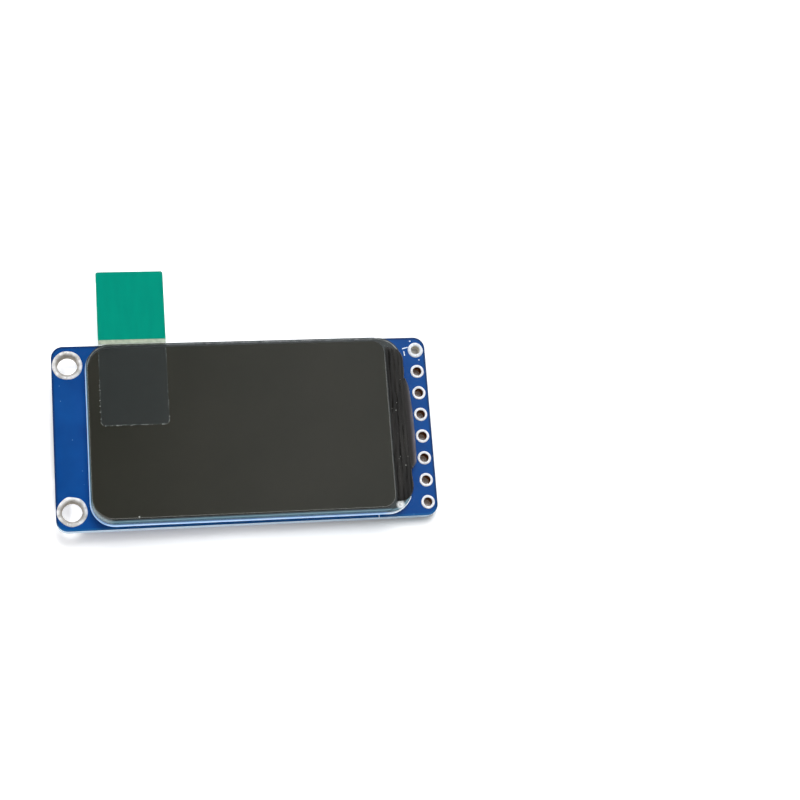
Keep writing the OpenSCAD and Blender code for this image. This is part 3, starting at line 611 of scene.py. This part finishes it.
def black_nylon():
    """Glass-filled nylon in black: satin moulding, greyer where the filler shows."""
    return mottled("black_glass_filled_nylon", 0.3, "#1c1c1b", "#343432", (0.1, 0.006), Roughness=0.42)


def gold_flash():
    """Stamped bronze with a gold flash: warm and bright, brushed along the strip."""
    made, tree, shader = finish("gold_flashed_bronze", Metallic=1.0)
    paint(shader, "Base Color", mottle(tree, 0.4, "#cdb892", "#e6d9bd"))
    paint(shader, "Roughness", uneven(tree, 0.15, 0.2, 0.4, stretch=(0.1, 1, 1)))
    return made


def tan_ceramic():
    """Fired titanate ceramic: warm tan, matte and finely speckled."""
    return mottled("tan_titanate_ceramic", 0.14, "#a37a58", "#c29a76", (0.08, 0.005), Roughness=0.55)


def glazed_alumina():
    """Resistor chip: a dark brown glaze over white alumina, glossy and slightly cloudy."""
    return mottled("glazed_alumina", 0.3, "#2a241f", "#4d4137", Roughness=0.3)


def mould_compound():
    """Black-brown epoxy mould compound: matte, with a fine sparkle of filler."""
    made, tree, shader = finish("epoxy_mould_compound", Roughness=0.5)
    body = mottle(tree, 0.25, "#2e2720", "#463c32")
    filler = {0: dots(tree, 0.12, 0.02, 0.3), 6: body, 7: "#6b6054"}
    paint(shader, "Base Color", add(tree, "Mix", filler, **COLOUR))
    grain(shader, 0.07, 0.006)
    return made


def paper_lint():
    """Paper lint: matte off-white fibres and crumbs."""
    return mottled("paper_lint", 0.2, "#8f918c", "#c4c7c2", Roughness=0.8)


tin = hot_air_tin()
ink = screen_ink()


# Tinned rings of the holes

def tinned_ring(centre, hole_r, ring_r, bead, seed):
    """Plated hole: a half-round bead on each face, uneven by a third of its height, joined by the
    thin wall of the hole. The loop runs over the front bead, down the hole, round the rear bead
    and back up behind the wall."""
    middle, half = (ring_r + hole_r) / 2, (ring_r - hole_r) / 2
    angle = np.linspace(0, np.pi, 13)
    crown = np.sin(angle) ** 0.7
    wall = np.linspace(FRONT, REAR, 8)[1:-1]
    radius = np.concatenate([
        middle + half * np.cos(angle), np.full(len(wall), hole_r),
        middle - half * np.cos(angle), [hole_r + PLATING, hole_r + PLATING],
    ])
    height = np.concatenate([FRONT + bead * crown, wall, REAR - bead * crown, [REAR, FRONT]])
    points, faces = lathe(np.column_stack([radius, height]), centre, 72)
    x, y, z = points.T
    proud = np.maximum(z - FRONT, 0) - np.maximum(REAR - z, 0)
    points[:, 2] += 0.35 * proud * ripple(x, y, 0.9, seed)
    outer = np.hypot(x - centre[0], y - centre[1]) > middle + 0.5 * half
    points[:, :2] += (points[:, :2] - centre) * (0.02 * ripple(x, y, 1.3, seed + 1) * outer)[:, None]
    return points, faces


MOUNT_BEAD, HEADER_BEAD = 0.09, 0.07
MOUNT_SEED, HEADER_SEED, FIRST_SEED = 11, 30, 50
mount_rings = build(
    "mount_ring_tin",
    [
        tinned_ring((0, side * MOUNT_Y), MOUNT_HOLE_R, MOUNT_RING_R, MOUNT_BEAD, MOUNT_SEED + side)
        for side in (1, -1)
    ],
    mount_tin(),
)
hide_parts("mounting_hole_rings")
# In the header holes the walls are painted shade, dark brown towards the front, and painted light, beige
# towards the rear.
header_rings = build(
    "header_ring_tin",
    [
        tinned_ring((HEADER_X, y), HEADER_HOLE_R, HEADER_RING_R, HEADER_BEAD, HEADER_SEED + 2 * i)
        for i, y in enumerate(HEADER_Y[1:])
    ],
    plated_hole("fluxed_header_tin", "#6a3d20", "#b08453", "#dadcdf", "#f1f2f6"),
)
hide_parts("header_hole_rings")
first_ring = build(
    "first_ring_tin",
    [tinned_ring((HEADER_X, HEADER_Y[0]), HEADER_HOLE_R, FIRST_RING_R, HEADER_BEAD, FIRST_SEED)],
    plated_hole("clean_header_tin", "#d5d2c8", "#dfdcd3", "#ccd2d7", "#e6ebf0"),
)
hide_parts("header_hole_rings")


# Solder on the rear lands

def fillet(x, y, width, reach, height, out):
    """Concave solder from a component's end face at x: full height at the face, falling with the
    square of the distance over its reach, and rounded off towards both sides."""
    v, u = np.meshgrid(np.linspace(0, 1, 9), np.linspace(-1, 1, 13), indexing="ij")
    rise = height * (1 - v) ** 2 * (1 - np.abs(u) ** 4)
    rise = np.vstack([np.zeros_like(rise[:1]), rise])
    across = y + u * width / 2 * (1 - 0.12 * v ** 2)
    along = x + out * reach * v
    return mound(
        np.vstack([along[:1], along]), np.vstack([across[:1], across]), rise, REAR - LAND_T, -1
    )


def blob(x0, x1, y, width, height):
    """Low solder mound from x0 to x1: an ellipse across, rising and falling in a quarter of its
    length at each end."""
    v, u = np.meshgrid(np.linspace(0, 1, 17), np.linspace(-1, 1, 11), indexing="ij")
    ends = np.clip(4 * np.minimum(v, 1 - v), 0, 1) ** 0.6
    rise = height * np.sqrt(np.clip(1 - u ** 2, 0, 1)) * ends
    return mound(x0 + (x1 - x0) * v, y + u * width / 2, rise, REAR - LAND_T, -1)


CHIP_REACH, CHIP_CLIMB = 0.33, 0.75
LEAD_REACH, LEAD_SOLDER_T = 0.3, 0.14
CONTACT_SOLDER_W, CONTACT_SOLDER_T = 0.29, 0.13
CONTACT_SOLDER_X = (contacts_high[0] - 1.0, contacts_high[0] + 0.15)
CLIP_INSET, CLIP_SOLDER_W, CLIP_SOLDER_T = 0.12, 0.34, 0.22
solder = []
for chip in CHIPS:
    low, high = box_of(f"{chip}_ends")
    y, width = (low[1] + high[1]) / 2, high[1] - low[1]
    tall = CHIP_CLIMB * (high[2] - low[2])
    solder.append(fillet(high[0], y, width, CHIP_REACH, tall, 1))
    solder.append(fillet(low[0], y, width, CHIP_REACH, tall, -1))
for package in PACKAGES:
    low, high = box_of(f"{package}_leads")
    middle = (low[1] + high[1]) / 2
    lone = (low[0], middle)
    pair = [(high[0], middle - PAIRED_LEAD_Y), (high[0], middle + PAIRED_LEAD_Y)]
    for x, y in (lone, *pair):
        solder.append(blob(x - LEAD_REACH, x + LEAD_REACH, y, LEAD_LAND_W, LEAD_SOLDER_T))
for y in CONTACT_Y:
    solder.append(blob(*CONTACT_SOLDER_X, y, CONTACT_SOLDER_W, CONTACT_SOLDER_T))
for y in (clip_low[1] + CLIP_INSET, clip_high[1] - CLIP_INSET):
    solder.append(blob(clip_low[0], clip_high[0], y, CLIP_SOLDER_W, CLIP_SOLDER_T))
build("rear_solder", solder, tin)


# Ink on both faces

INK_T, INK_SINK, INK_LIFT = 0.02, 0.02, 0.006
INK_W, THIN_INK_W, FRONT_INK_W = 0.24, 0.15, 0.1
# Strokes of the digits in a box 0.6 wide and 1 high
DIGITS = {
    1: [[(0.12, 0.78), (0.34, 1), (0.34, 0)]],
    2: [np.vstack([arc(0.3, 0.7, 0.28, 0.3, 165, -35), [(0.02, 0), (0.6, 0)]])],
    3: [arc(0.29, 0.76, 0.25, 0.24, 150, -90), arc(0.29, 0.26, 0.29, 0.26, 90, -150)],
    4: [[(0.46, 0), (0.46, 1), (0, 0.3)], [(0, 0.3), (0.62, 0.3)]],
    5: [np.vstack([[(0.56, 1), (0.1, 1), (0.05, 0.56)], arc(0.28, 0.31, 0.3, 0.31, 130, -145)])],
    6: [arc(0.62, 0.3, 0.61, 0.72, 105, 178), arc(0.3, 0.3, 0.29, 0.3, 180, 540, 24)],
    7: [[(0, 1), (0.6, 1), (0.2, 0)]],
    8: [arc(0.3, 0.76, 0.24, 0.24, -90, 270, 24), arc(0.3, 0.26, 0.29, 0.26, 90, 450, 24)],
}
# Ways to set a digit on the rear face: the direction it reads in, then its head
SIDEWAYS = np.array([(-1, 0), (0, 1)])
UPRIGHT = np.array([(0, -1), (-1, 0)])


def rear_ink(path, width=INK_W, lift=0.0):
    """Ink line on the rear face. Lines that cross lie at different heights, lift apart."""
    return stroke(path, width, REAR + INK_SINK + lift, REAR - INK_T - lift)


def rear_digit(digit, x, y, size, way=SIDEWAYS):
    """Number centred on x and y, in strokes a sixth of its size wide."""
    lines = [(np.asarray(line, float) - (0.3, 0.5)) * size for line in DIGITS[digit]]
    return [rear_ink((x, y) + line @ way, size / 6, INK_LIFT * i) for i, line in enumerate(lines)]


def bracket_pair(node, lift):
    """Two round-cornered brackets about a chip, open beside its middle, lift above those of the
    chip beside it."""
    low, high = box_of(node)
    centre = (low + high)[:2] / 2
    reach, half, corner, gap = 1.46, 0.82, 0.35, 0.42
    rim = np.vstack([
        [(gap, half)], arc(reach - corner, half - corner, corner, corner, 90, 0, 6),
        arc(reach - corner, corner - half, corner, corner, 0, -90, 6), [(gap, -half)],
    ])
    return [rear_ink(centre + rim, lift=lift), rear_ink(centre - rim, lift=lift)]


def package_marks(node):
    """Line at each end of a three-lead package and a short bar between its paired leads."""
    low, high = box_of(node)
    x, y = (low + high)[:2] / 2
    end, half, bar_x, bar_half = 1.62, 0.95, 1.05, 0.42
    lines = [
        [(x - half, y + end), (x + half, y + end)],
        [(x - half, y - end), (x + half, y - end)],
        [(x + bar_x, y - bar_half), (x + bar_x, y + bar_half)],
    ]
    return [rear_ink(line, THIN_INK_W) for line in lines]


BOX_SIDE, BOX_START, BOX_END, BOX_CUT = 4.66, housing_high[0] - 0.6, 7.6, 0.5
SHELF_X, SHELF_Y = housing_high[0] + 0.9, 2.4
HEADER_LINE_X, HEADER_LINE_Y = 38.2, 10.1
DOT_X, DOT_Y, DOT_W = housing_high[0] + 0.48, -3.75, 0.7
HEADER_DIGIT_X, HEADER_DIGIT_H = 36.6, 1.7
CONTACT_DIGIT_X, CONTACT_DIGIT_Y, CONTACT_DIGIT_H = 6.5, 3.5, 0.85
CHIP_DIGIT_OUT, CHIP_DIGIT_H = 1.6, 1.15
PACKAGE_DIGIT_OUT, PACKAGE_DIGIT_H, FIRST_PACKAGE_DIGIT = 1.8, 0.95, 5
marks = [
    rear_ink([
        (BOX_START, BOX_SIDE), (BOX_END - BOX_CUT, BOX_SIDE), (BOX_END, BOX_SIDE - BOX_CUT),
        (BOX_END, BOX_CUT - BOX_SIDE), (BOX_END - BOX_CUT, -BOX_SIDE), (BOX_START, -BOX_SIDE),
    ]),
    rear_ink([(SHELF_X, BOX_SIDE), (SHELF_X, SHELF_Y)], lift=INK_LIFT),
    rear_ink([(SHELF_X, -SHELF_Y), (SHELF_X, -BOX_SIDE)], lift=INK_LIFT),
    rear_ink([
        (HEADER_LINE_X, -HEADER_LINE_Y), (HEADER_LINE_X, HEADER_LINE_Y), (HEADER_X, HEADER_LINE_Y),
    ]),
    rear_ink([(DOT_X - 0.01, DOT_Y), (DOT_X + 0.01, DOT_Y)], DOT_W),
]
for i, y in enumerate(HEADER_Y):
    marks += rear_digit(i + 1, HEADER_DIGIT_X, y, HEADER_DIGIT_H)
for i, y in enumerate(np.linspace(CONTACT_DIGIT_Y, -CONTACT_DIGIT_Y, CONTACT_COUNT)):
    marks += rear_digit(i + 1, CONTACT_DIGIT_X, y, CONTACT_DIGIT_H)
for chip in CHIPS:
    low, high = box_of(f"{chip}_body")
    number, y = int(chip[-1]), (low[1] + high[1]) / 2
    marks += bracket_pair(f"{chip}_body", INK_LIFT * (number % 2))
    marks += rear_digit(number, high[0] + CHIP_DIGIT_OUT, y, CHIP_DIGIT_H)
for number, package in enumerate(PACKAGES, FIRST_PACKAGE_DIGIT):
    low, high = box_of(f"{package}_body")
    x, y = high[0] + PACKAGE_DIGIT_OUT, (low[1] + high[1]) / 2
    marks += package_marks(f"{package}_body")
    marks += rear_digit(number, x, y, PACKAGE_DIGIT_H, UPRIGHT)
build("rear_ink", marks, ink)

TICK_X = 33.7
front_lines = [
    [(HEADER_X - 1.5, 9.1), (HEADER_X - 0.9, 9.25)],
    [(HEADER_X - 1.35, 8.75), (HEADER_X - 1.3, 8.3)],
    [(HEADER_X + 0.3, 7.72), (HEADER_X + 0.36, 7.7)],
    [(HEADER_X - 0.6, 9.98), (HEADER_X - 0.5, 9.97)],
    [(TICK_X, board_low[1] + 0.07), (TICK_X, board_low[1] + 0.4)],
]
front_marks = [stroke(line, FRONT_INK_W, FRONT - INK_SINK, FRONT + INK_T) for line in front_lines]
build("front_ink", front_marks, ink)


# Gaps in the copper and vias, under the mask of the rear face

def lanes(path, count, pitch):
    """Parallel copies of a path, side by side across Y."""
    path = np.asarray(path, float)
    return [path + (0, (i - (count - 1) / 2) * pitch) for i in range(count)]


GAP_W, GAP_T = 0.13, 0.008
routes = [
    *lanes([(7.8, 0.2), (11.2, 0.2), (12.0, -0.6)], 6, 0.45),
    *lanes([(11.6, -2.0), (12.2, -5.4), (14.0, -6.8), (21.4, -7.0), (22.6, -8.6), (35.4, -8.9)], 2, 0.4),
    *lanes([(15.2, 6.0), (33.8, 6.4)], 2, 0.4),
    *lanes([(23.4, 4.6), (26.2, 4.2), (31.4, -0.7), (35.2, -4.3)], 4, 0.42),
    *lanes([(24.9, -2.2), (24.6, -3.2), (23.8, -3.5)], 1, 0.4),
]
gaps = [stroke(route, GAP_W, REAR + INK_SINK, REAR - GAP_T) for route in routes]
build("copper_gaps", gaps, bare_mask())

VIA_R, VIA_HOLE_R, VIA_T = 0.3, 0.12, 0.03
VIAS = [
    (15.0, 5.9), (14.3, -6.0), (19.3, -5.9), (22.1, -8.9), (24.7, -0.5), (25.0, -2.0),
    (23.7, -3.6), (31.1, -1.3), (32.3, -0.9), (8.4, -1.5), (9.9, 1.4), (11.0, 1.5),
]
via_angle = np.linspace(0, np.pi, 7)
via_profile = np.column_stack([
    (VIA_R + VIA_HOLE_R) / 2 + (VIA_R - VIA_HOLE_R) / 2 * np.cos(via_angle),
    REAR - VIA_T * np.sin(via_angle),
])
build("tented_vias", [lathe(via_profile, place, 24) for place in VIAS], tented_mask())


# Sealant bead and flex at the panel's end

BEAD_FOOT, BEAD_FALL, BEAD_NOSE = panel_high[2] - 0.4, 0.12, 0.14
BEAD_END, BEAD_CORNER_R = panel_high[0] + 0.22, 1.95
BEAD_HALF, BEAD_RIDGE, BEAD_RIDGE_T = 9.15, 0.5, 0.018
BEAD_WAVER, BEAD_WAVE_T = 0.06, 0.02


def sealant_bead():
    """Resin over the driver chip and the bonded flex. Its section falls gently from the upper glass
    and turns down a round nose past the panel's end. Its front edge wavers along a straight run
    with a quarter circle at each end, and its height drops off there along a superellipse. Low
    ridges run along it."""
    x0, foot = sealant_low[0], BEAD_FOOT
    slope, turn = np.linspace(0, 1, 25), np.linspace(0, np.pi / 2, 17)[1:]
    top = sealant_high[2] - BEAD_FALL
    share = np.concatenate([slope * (1 - BEAD_NOSE), 1 - BEAD_NOSE + BEAD_NOSE * np.sin(turn)])
    height = np.concatenate([top + BEAD_FALL * (1 - slope ** 2), foot + (top - foot) * np.cos(turn)])
    height = np.concatenate([[foot], height])[:, None]
    share = np.concatenate([[0], share])[:, None]
    u = np.linspace(-1, 1, 301)
    y = u * BEAD_HALF
    corner = np.clip(np.abs(y) - (BEAD_HALF - BEAD_CORNER_R), 0, BEAD_CORNER_R)
    front = BEAD_END - BEAD_CORNER_R + np.sqrt(BEAD_CORNER_R ** 2 - corner ** 2)
    front = front + BEAD_WAVER * ripple(y, np.zeros_like(y), 2.6, 3)
    x = x0 + (front - x0) * share
    y = np.broadcast_to(y, x.shape)
    ends = (1 - np.abs(u) ** 40) ** 0.5
    ridge = np.cos(2 * np.pi * (x - x0 - 0.05 * ripple(y, y, 5.0, 6)) / BEAD_RIDGE)
    wave = BEAD_WAVE_T * ripple(4 * x, y, 2.2, 5) + BEAD_RIDGE_T * ridge * np.sin(np.pi * share)
    rise = (height - foot) * ends * (1 + wave)
    return mound(x, y, rise, foot, 1)


bead = build("sealant_bead", [sealant_bead()], black_resin(), sharp=70)
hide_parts("ledge_sealant")


def flex_ribbon():
    """Flex carried along its run: flat on the ledge, half a circle round the panel's end and flat
    back along the board. The bend is slack, and falls short of its full reach with the square of
    the distance from its fullest line and round a quarter circle at both sides."""
    radius = (flex_high[2] - flex_low[2]) / 2 - FLEX_T / 2
    bend_x = flex_high[0] - radius - FLEX_T / 2
    middle_z = (flex_low[2] + flex_high[2]) / 2
    turn = np.linspace(np.pi / 2, -np.pi / 2, 33)
    round_x, round_z = np.cos(turn), np.sin(turn)
    x = np.concatenate([[sealant_high[0]] * 2, bend_x + radius * round_x, [flex_low[0]] * 2])
    z = middle_z + radius * np.concatenate([[1, 1], round_z, [-1, -1]])
    out_x = np.concatenate([[0, 0], round_x, [0, 0]])
    out_z = np.concatenate([[1, 1], round_z, [-1, -1]])
    half = np.full(len(x), FLEX_T / 2)
    half[[0, -1]] = 0
    y = np.linspace(flex_low[1], flex_high[1], 105)
    side = np.clip((np.abs(y) - flex_high[1]) / FLEX_CORNER_R + 1, 0, 1)
    slack = FLEX_SLACK * ((y - FLEX_FULL_Y) / (flex_high[1] - FLEX_FULL_Y)) ** 2
    slack += FLEX_CORNER_R * (1 - np.sqrt(1 - side ** 2))
    bulge = -np.clip(out_x, 0, 1)[:, None] * slack
    outer, inner = bulge + half[:, None], (bulge - half[:, None])[:, ::-1]
    away = np.concatenate([outer, inner], axis=1)
    across = np.broadcast_to(np.concatenate([y, y[::-1]]), away.shape)
    loop = np.stack(
        [x[:, None] + out_x[:, None] * away, across, z[:, None] + out_z[:, None] * away], axis=-1
    )
    return loop.reshape(-1, 3), quads(len(x), away.shape[1], wrap_columns=True)


flex_finish = polyimide_flex()
ribbon = build("flex_ribbon", [flex_ribbon()], flex_finish)
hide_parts("panel_flex")


# Lint and crumbs

TAPE_CRUMB, BEAD_CRUMB, LONE_CRUMB = 0.04, 0.06, 0.16
LONE_PLACE = (7.1, film_low[1] + 0.12)
SCATTER, LEFT_LINT_END, RIGHT_LINT_END = 0.03, 7.5, 4.0
BEAD_LINT_COUNT, BEAD_LINT_SUNK, BEAD_LINT_HALF = 10, 0.02, 8


def crumbs(places, tops, size, seed):
    """Tiny crumbs on faces of those heights, each a low dome of random width."""
    draw = np.random.default_rng(seed)
    v, turn = np.meshgrid([0.0, 0.55, 1.0], np.linspace(0, 2 * np.pi, 9), indexing="ij")
    rise = 0.6 * size * (1 - v ** 2)
    widths = size * draw.uniform(0.4, 1.0, (len(places), 2))
    return [
        mound(x + wide * v * np.cos(turn), y + deep * v * np.sin(turn), rise, top, 1)
        for (x, y), top, (wide, deep) in zip(places, tops, widths)
    ]


def tape_edge_places():
    """Random places along the tape's cut edges on the screen, most along its lower edge."""
    draw = np.random.default_rng(21)
    x0, x1, y0 = tape_low[0], tape_high[0], tape_low[1]
    r = TAPE_CORNER_R
    lower = np.column_stack([draw.uniform(x0 + r, x1 - r, 26), y0 + draw.normal(0, SCATTER, 26)])
    left = np.column_stack([x0 + draw.normal(0, SCATTER, 10), draw.uniform(y0 + r, LEFT_LINT_END, 10)])
    right = np.column_stack([x1 + draw.normal(0, SCATTER, 5), draw.uniform(y0 + r, RIGHT_LINT_END, 5)])
    near = arc(x0 + r, y0 + r, r, r, 185, 265, 5)
    far = arc(x1 - r, y0 + r, r, r, 280, 350, 4)
    return np.vstack([lower, left, right, near, far])


def bead_places():
    """Random places on the bead, and just under its top there, which falls with the square of the
    share of the slope."""
    draw = np.random.default_rng(8)
    x0, half = sealant_low[0], BEAD_LINT_HALF
    share = draw.uniform(0.05, 0.9, BEAD_LINT_COUNT)
    x = x0 + (BEAD_END - x0) * (1 - BEAD_NOSE) * share
    places = np.column_stack([x, draw.uniform(-half, half, BEAD_LINT_COUNT)])
    return places, sealant_high[2] - BEAD_FALL * share ** 2 - BEAD_LINT_SUNK


edge_places = tape_edge_places()
lint = crumbs(edge_places, np.full(len(edge_places), tape_low[2]), TAPE_CRUMB, 4)
lint += crumbs(*bead_places(), BEAD_CRUMB, 9)
lint += crumbs([LONE_PLACE], [film_high[2]], LONE_CRUMB, 2)
build("lint", lint, paper_lint())


# Finishes and edges of the solids

def dress(material, *names):
    """Gives solids their finish."""
    for name in names:
        nodes[name].material_slots[0].material = material


def soften(width, *names):
    """Rounds the edges of solids: their loose triangles are welded, then the sharp edges cut."""
    for name in names:
        weld = nodes[name].modifiers.new("weld", "WELD")
        weld.merge_threshold = WELD_GAP * MM
        bevel = nodes[name].modifiers.new("edges", "BEVEL")
        bevel.width = width * MM
        bevel.segments = 2
        bevel.limit_method = "ANGLE"
        bevel.angle_limit = math.radians(35)


chip_bodies = [f"{chip}_body" for chip in CHIPS]
chip_ends = [f"{chip}_ends" for chip in CHIPS]
package_bodies = [f"{package}_body" for package in PACKAGES]
package_leads = [f"{package}_leads" for package in PACKAGES]

dress(solder_mask(), "pcb")
dress(tin, "solder_pads", "connector_hold_downs", *chip_ends, *package_leads)
dress(foam_tape(), "panel_mount_tape")
dress(white_moulding(), "backlight_frame")
dress(white_film(), "backlight_reflector", "diffuser_film")
dress(ridged_acrylic("light_guide_acrylic", 0.5, 0.19), "light_guide")
dress(ridged_acrylic("ridged_prism_film", 0.6, 0.063), "lower_prism_film", "upper_prism_film")
dress(phosphor_diode(), "backlight_leds")
dress(flex_finish, "backlight_led_strip")
dress(black_tape(), "light_shield_tape")
dress(polarizer_film(), "rear_polarizer", "front_polarizer")
dress(panel_glass(), "tft_glass", "colour_filter_glass")
dress(bare_silicon(), "driver_chip")
dress(protective_film(), "protective_film")
dress(clear_tape(), "pull_tab_tape")
dress(teal_film(), "pull_tab")
dress(ivory_nylon(), "connector_housing")
dress(black_nylon(), "connector_lid")
dress(gold_flash(), "connector_contacts")
dress(tan_ceramic(), *chip_bodies[:CHIPS_A_KIND])
dress(glazed_alumina(), *chip_bodies[CHIPS_A_KIND:])
dress(mould_compound(), *package_bodies)
soften(0.03, "connector_housing", "connector_lid", *chip_bodies, *chip_ends)
soften(0.05, *package_bodies)
soften(0.02, *package_leads)


# Floor, light and camera

GLOW_START, GLOW_END, GLOW_FULL, GLOW_LEAST = 18, 41, 0.4, 0.02
HOLE_GLOW_OUTER, HOLE_GLOW_INNER, HOLE_GLOW = 2.5, 1.3, 0.4
TALLEST_BEAD = 1.4 * HEADER_BEAD
FLOOR_REACH = 400


def floor():
    """Plain white table under the module, which leans on the back of its connector and on the end
    of the board. Its soft glow is painted light: strongest below the lifted end and fading towards
    the header end, which paints shade in the header holes, with painted pools of light under the
    mounting holes and a painted shadow where the glow stops along the board's outline."""
    white = {"Base_Color": linear("#f2f2f2"), "Emission_Color": linear("#ffffff")}
    made, tree, shader = finish("white_table", Roughness=0.9, **white)
    # Painted light: the floor glows, most under the lifted end, least under the header end.
    glow = ramp(tree, "X", GLOW_START, GLOW_END, GLOW_FULL, GLOW_LEAST)
    outline = (tree, board_low, board_high, BOARD_CORNER_R)
    # Painted shadow: no glow along the board's outline.
    painted_shadow_band = {0: edge_share(*outline, 1.9, 1.4), 1: edge_share(*outline, 1.2, -1.0)}
    painted_shadow_band = add(tree, "Math", painted_shadow_band, operation="SUBTRACT")
    beside = add(tree, "Math", {0: 1.0, 1: painted_shadow_band}, operation="SUBTRACT")
    glow = add(tree, "Math", {0: glow, 1: beside}, operation="MULTIPLY")
    # Painted pools of light on the floor under the mounting holes.
    holes = spot(tree, MOUNT_AXIS, HOLE_GLOW_OUTER, HOLE_GLOW_INNER, HOLE_GLOW, pair=True)
    paint(shader, "Emission Strength", add(tree, "Math", {0: glow, 1: holes}, operation="ADD"))
    low_x, low_z = housing_high[0], housing_low[2]
    high_x, high_z = HEADER_X + HEADER_RING_R, REAR - TALLEST_BEAD
    slope = (high_z - low_z) / (high_x - low_x)
    corners = [
        (x * MM, y * MM, (low_z + slope * (x - low_x)) * MM)
        for x, y in FLOOR_REACH * np.array([(-1, -1), (1, -1), (1, 1), (-1, 1)])
    ]
    mesh = bpy.data.meshes.new("floor")
    mesh.from_pydata(corners, [], [(0, 1, 2, 3)])
    mesh.materials.append(made)
    table = bpy.data.objects.new("floor", mesh)
    bpy.context.scene.collection.objects.link(table)


CAP_AXIS = (0.1, 0.23, 0.968)


def dome():
    """Studio dome: white round the horizon, bright behind the board and dimmer in front of it,
    with a dim cap above that grows brighter to the right."""
    world = bpy.data.worlds.new("studio_dome")
    bpy.context.scene.world = world
    world.use_nodes = True
    tree = world.node_tree
    way = add(tree, "TexCoord", out="Generated")
    x, y, z = add(tree, "SeparateXYZ", {0: way}, out=slice(3))
    smooth = {"interpolation_type": "SMOOTHSTEP"}
    side = {"Value": y, "From Min": -0.5, "From Max": 0.5, "To Min": 0.35, "To Max": 1.15}
    side = add(tree, "MapRange", side, **smooth)
    cap = {"Value": x, "From Min": -0.02, "From Max": 0.16, "To Min": 0.03, "To Max": 0.68}
    cap = add(tree, "MapRange", cap, **smooth)
    above = add(tree, "VectorMath", {0: way, 1: CAP_AXIS}, operation="DOT_PRODUCT", out="Value")
    above = {"Value": above, "From Min": 0.76, "From Max": 0.94}
    above = add(tree, "MapRange", above, **smooth)
    clear = {"Value": z, "From Min": 0.1, "From Max": 0.4}
    clear = add(tree, "MapRange", clear, **smooth)
    level = add(tree, "Mix", {0: above, 2: side, 3: cap})
    level = add(tree, "Mix", {0: clear, 2: 1.05, 3: level})
    background = tree.nodes["Background"]
    background.inputs["Color"].default_value = linear("#ffffff")
    paint(background, "Strength", level)


def key_light():
    """Large soft light high behind the board, kept out of mirror reflections."""
    lamp = bpy.data.lights.new("key", "SUN")
    lamp.energy = 2.6
    lamp.angle = math.radians(34)
    key = bpy.data.objects.new("key", lamp)
    key.rotation_euler = Euler((math.radians(-26), math.radians(6), 0))
    key.visible_glossy = False
    bpy.context.scene.collection.objects.link(key)


# Camera fitted to the ten holes of the board: turns about X, Y and Z, the place of the frame's
# origin before the camera, and the focal length in pixels of the square picture
CAMERA_TURNS = (-14.0, 11.122, 1.913)
ORIGIN_BEFORE_CAMERA = (-36.187, -4.159, -189.631)
FOCAL_PIXELS, PICTURE_PIXELS = 1731.25, 800
SENSOR = 36.0


def camera():
    """Camera at the photograph's place over the board's front face."""
    lens = bpy.data.cameras.new("camera")
    lens.sensor_width = SENSOR
    lens.lens = FOCAL_PIXELS / PICTURE_PIXELS * SENSOR
    lens.clip_start, lens.clip_end = 0.01, 10
    eye = bpy.data.objects.new("camera", lens)
    turn = Euler([math.radians(angle) for angle in CAMERA_TURNS], "XYZ").to_matrix().to_4x4()
    place = Matrix.Translation(Vector(ORIGIN_BEFORE_CAMERA) * MM)
    eye.matrix_world = (place @ turn @ Matrix.Translation((0, 0, -FRONT * MM))).inverted()
    bpy.context.scene.collection.objects.link(eye)
    bpy.context.scene.camera = eye


floor()
dome()
key_light()
camera()
bpy.context.scene.view_settings.view_transform = "Standard"
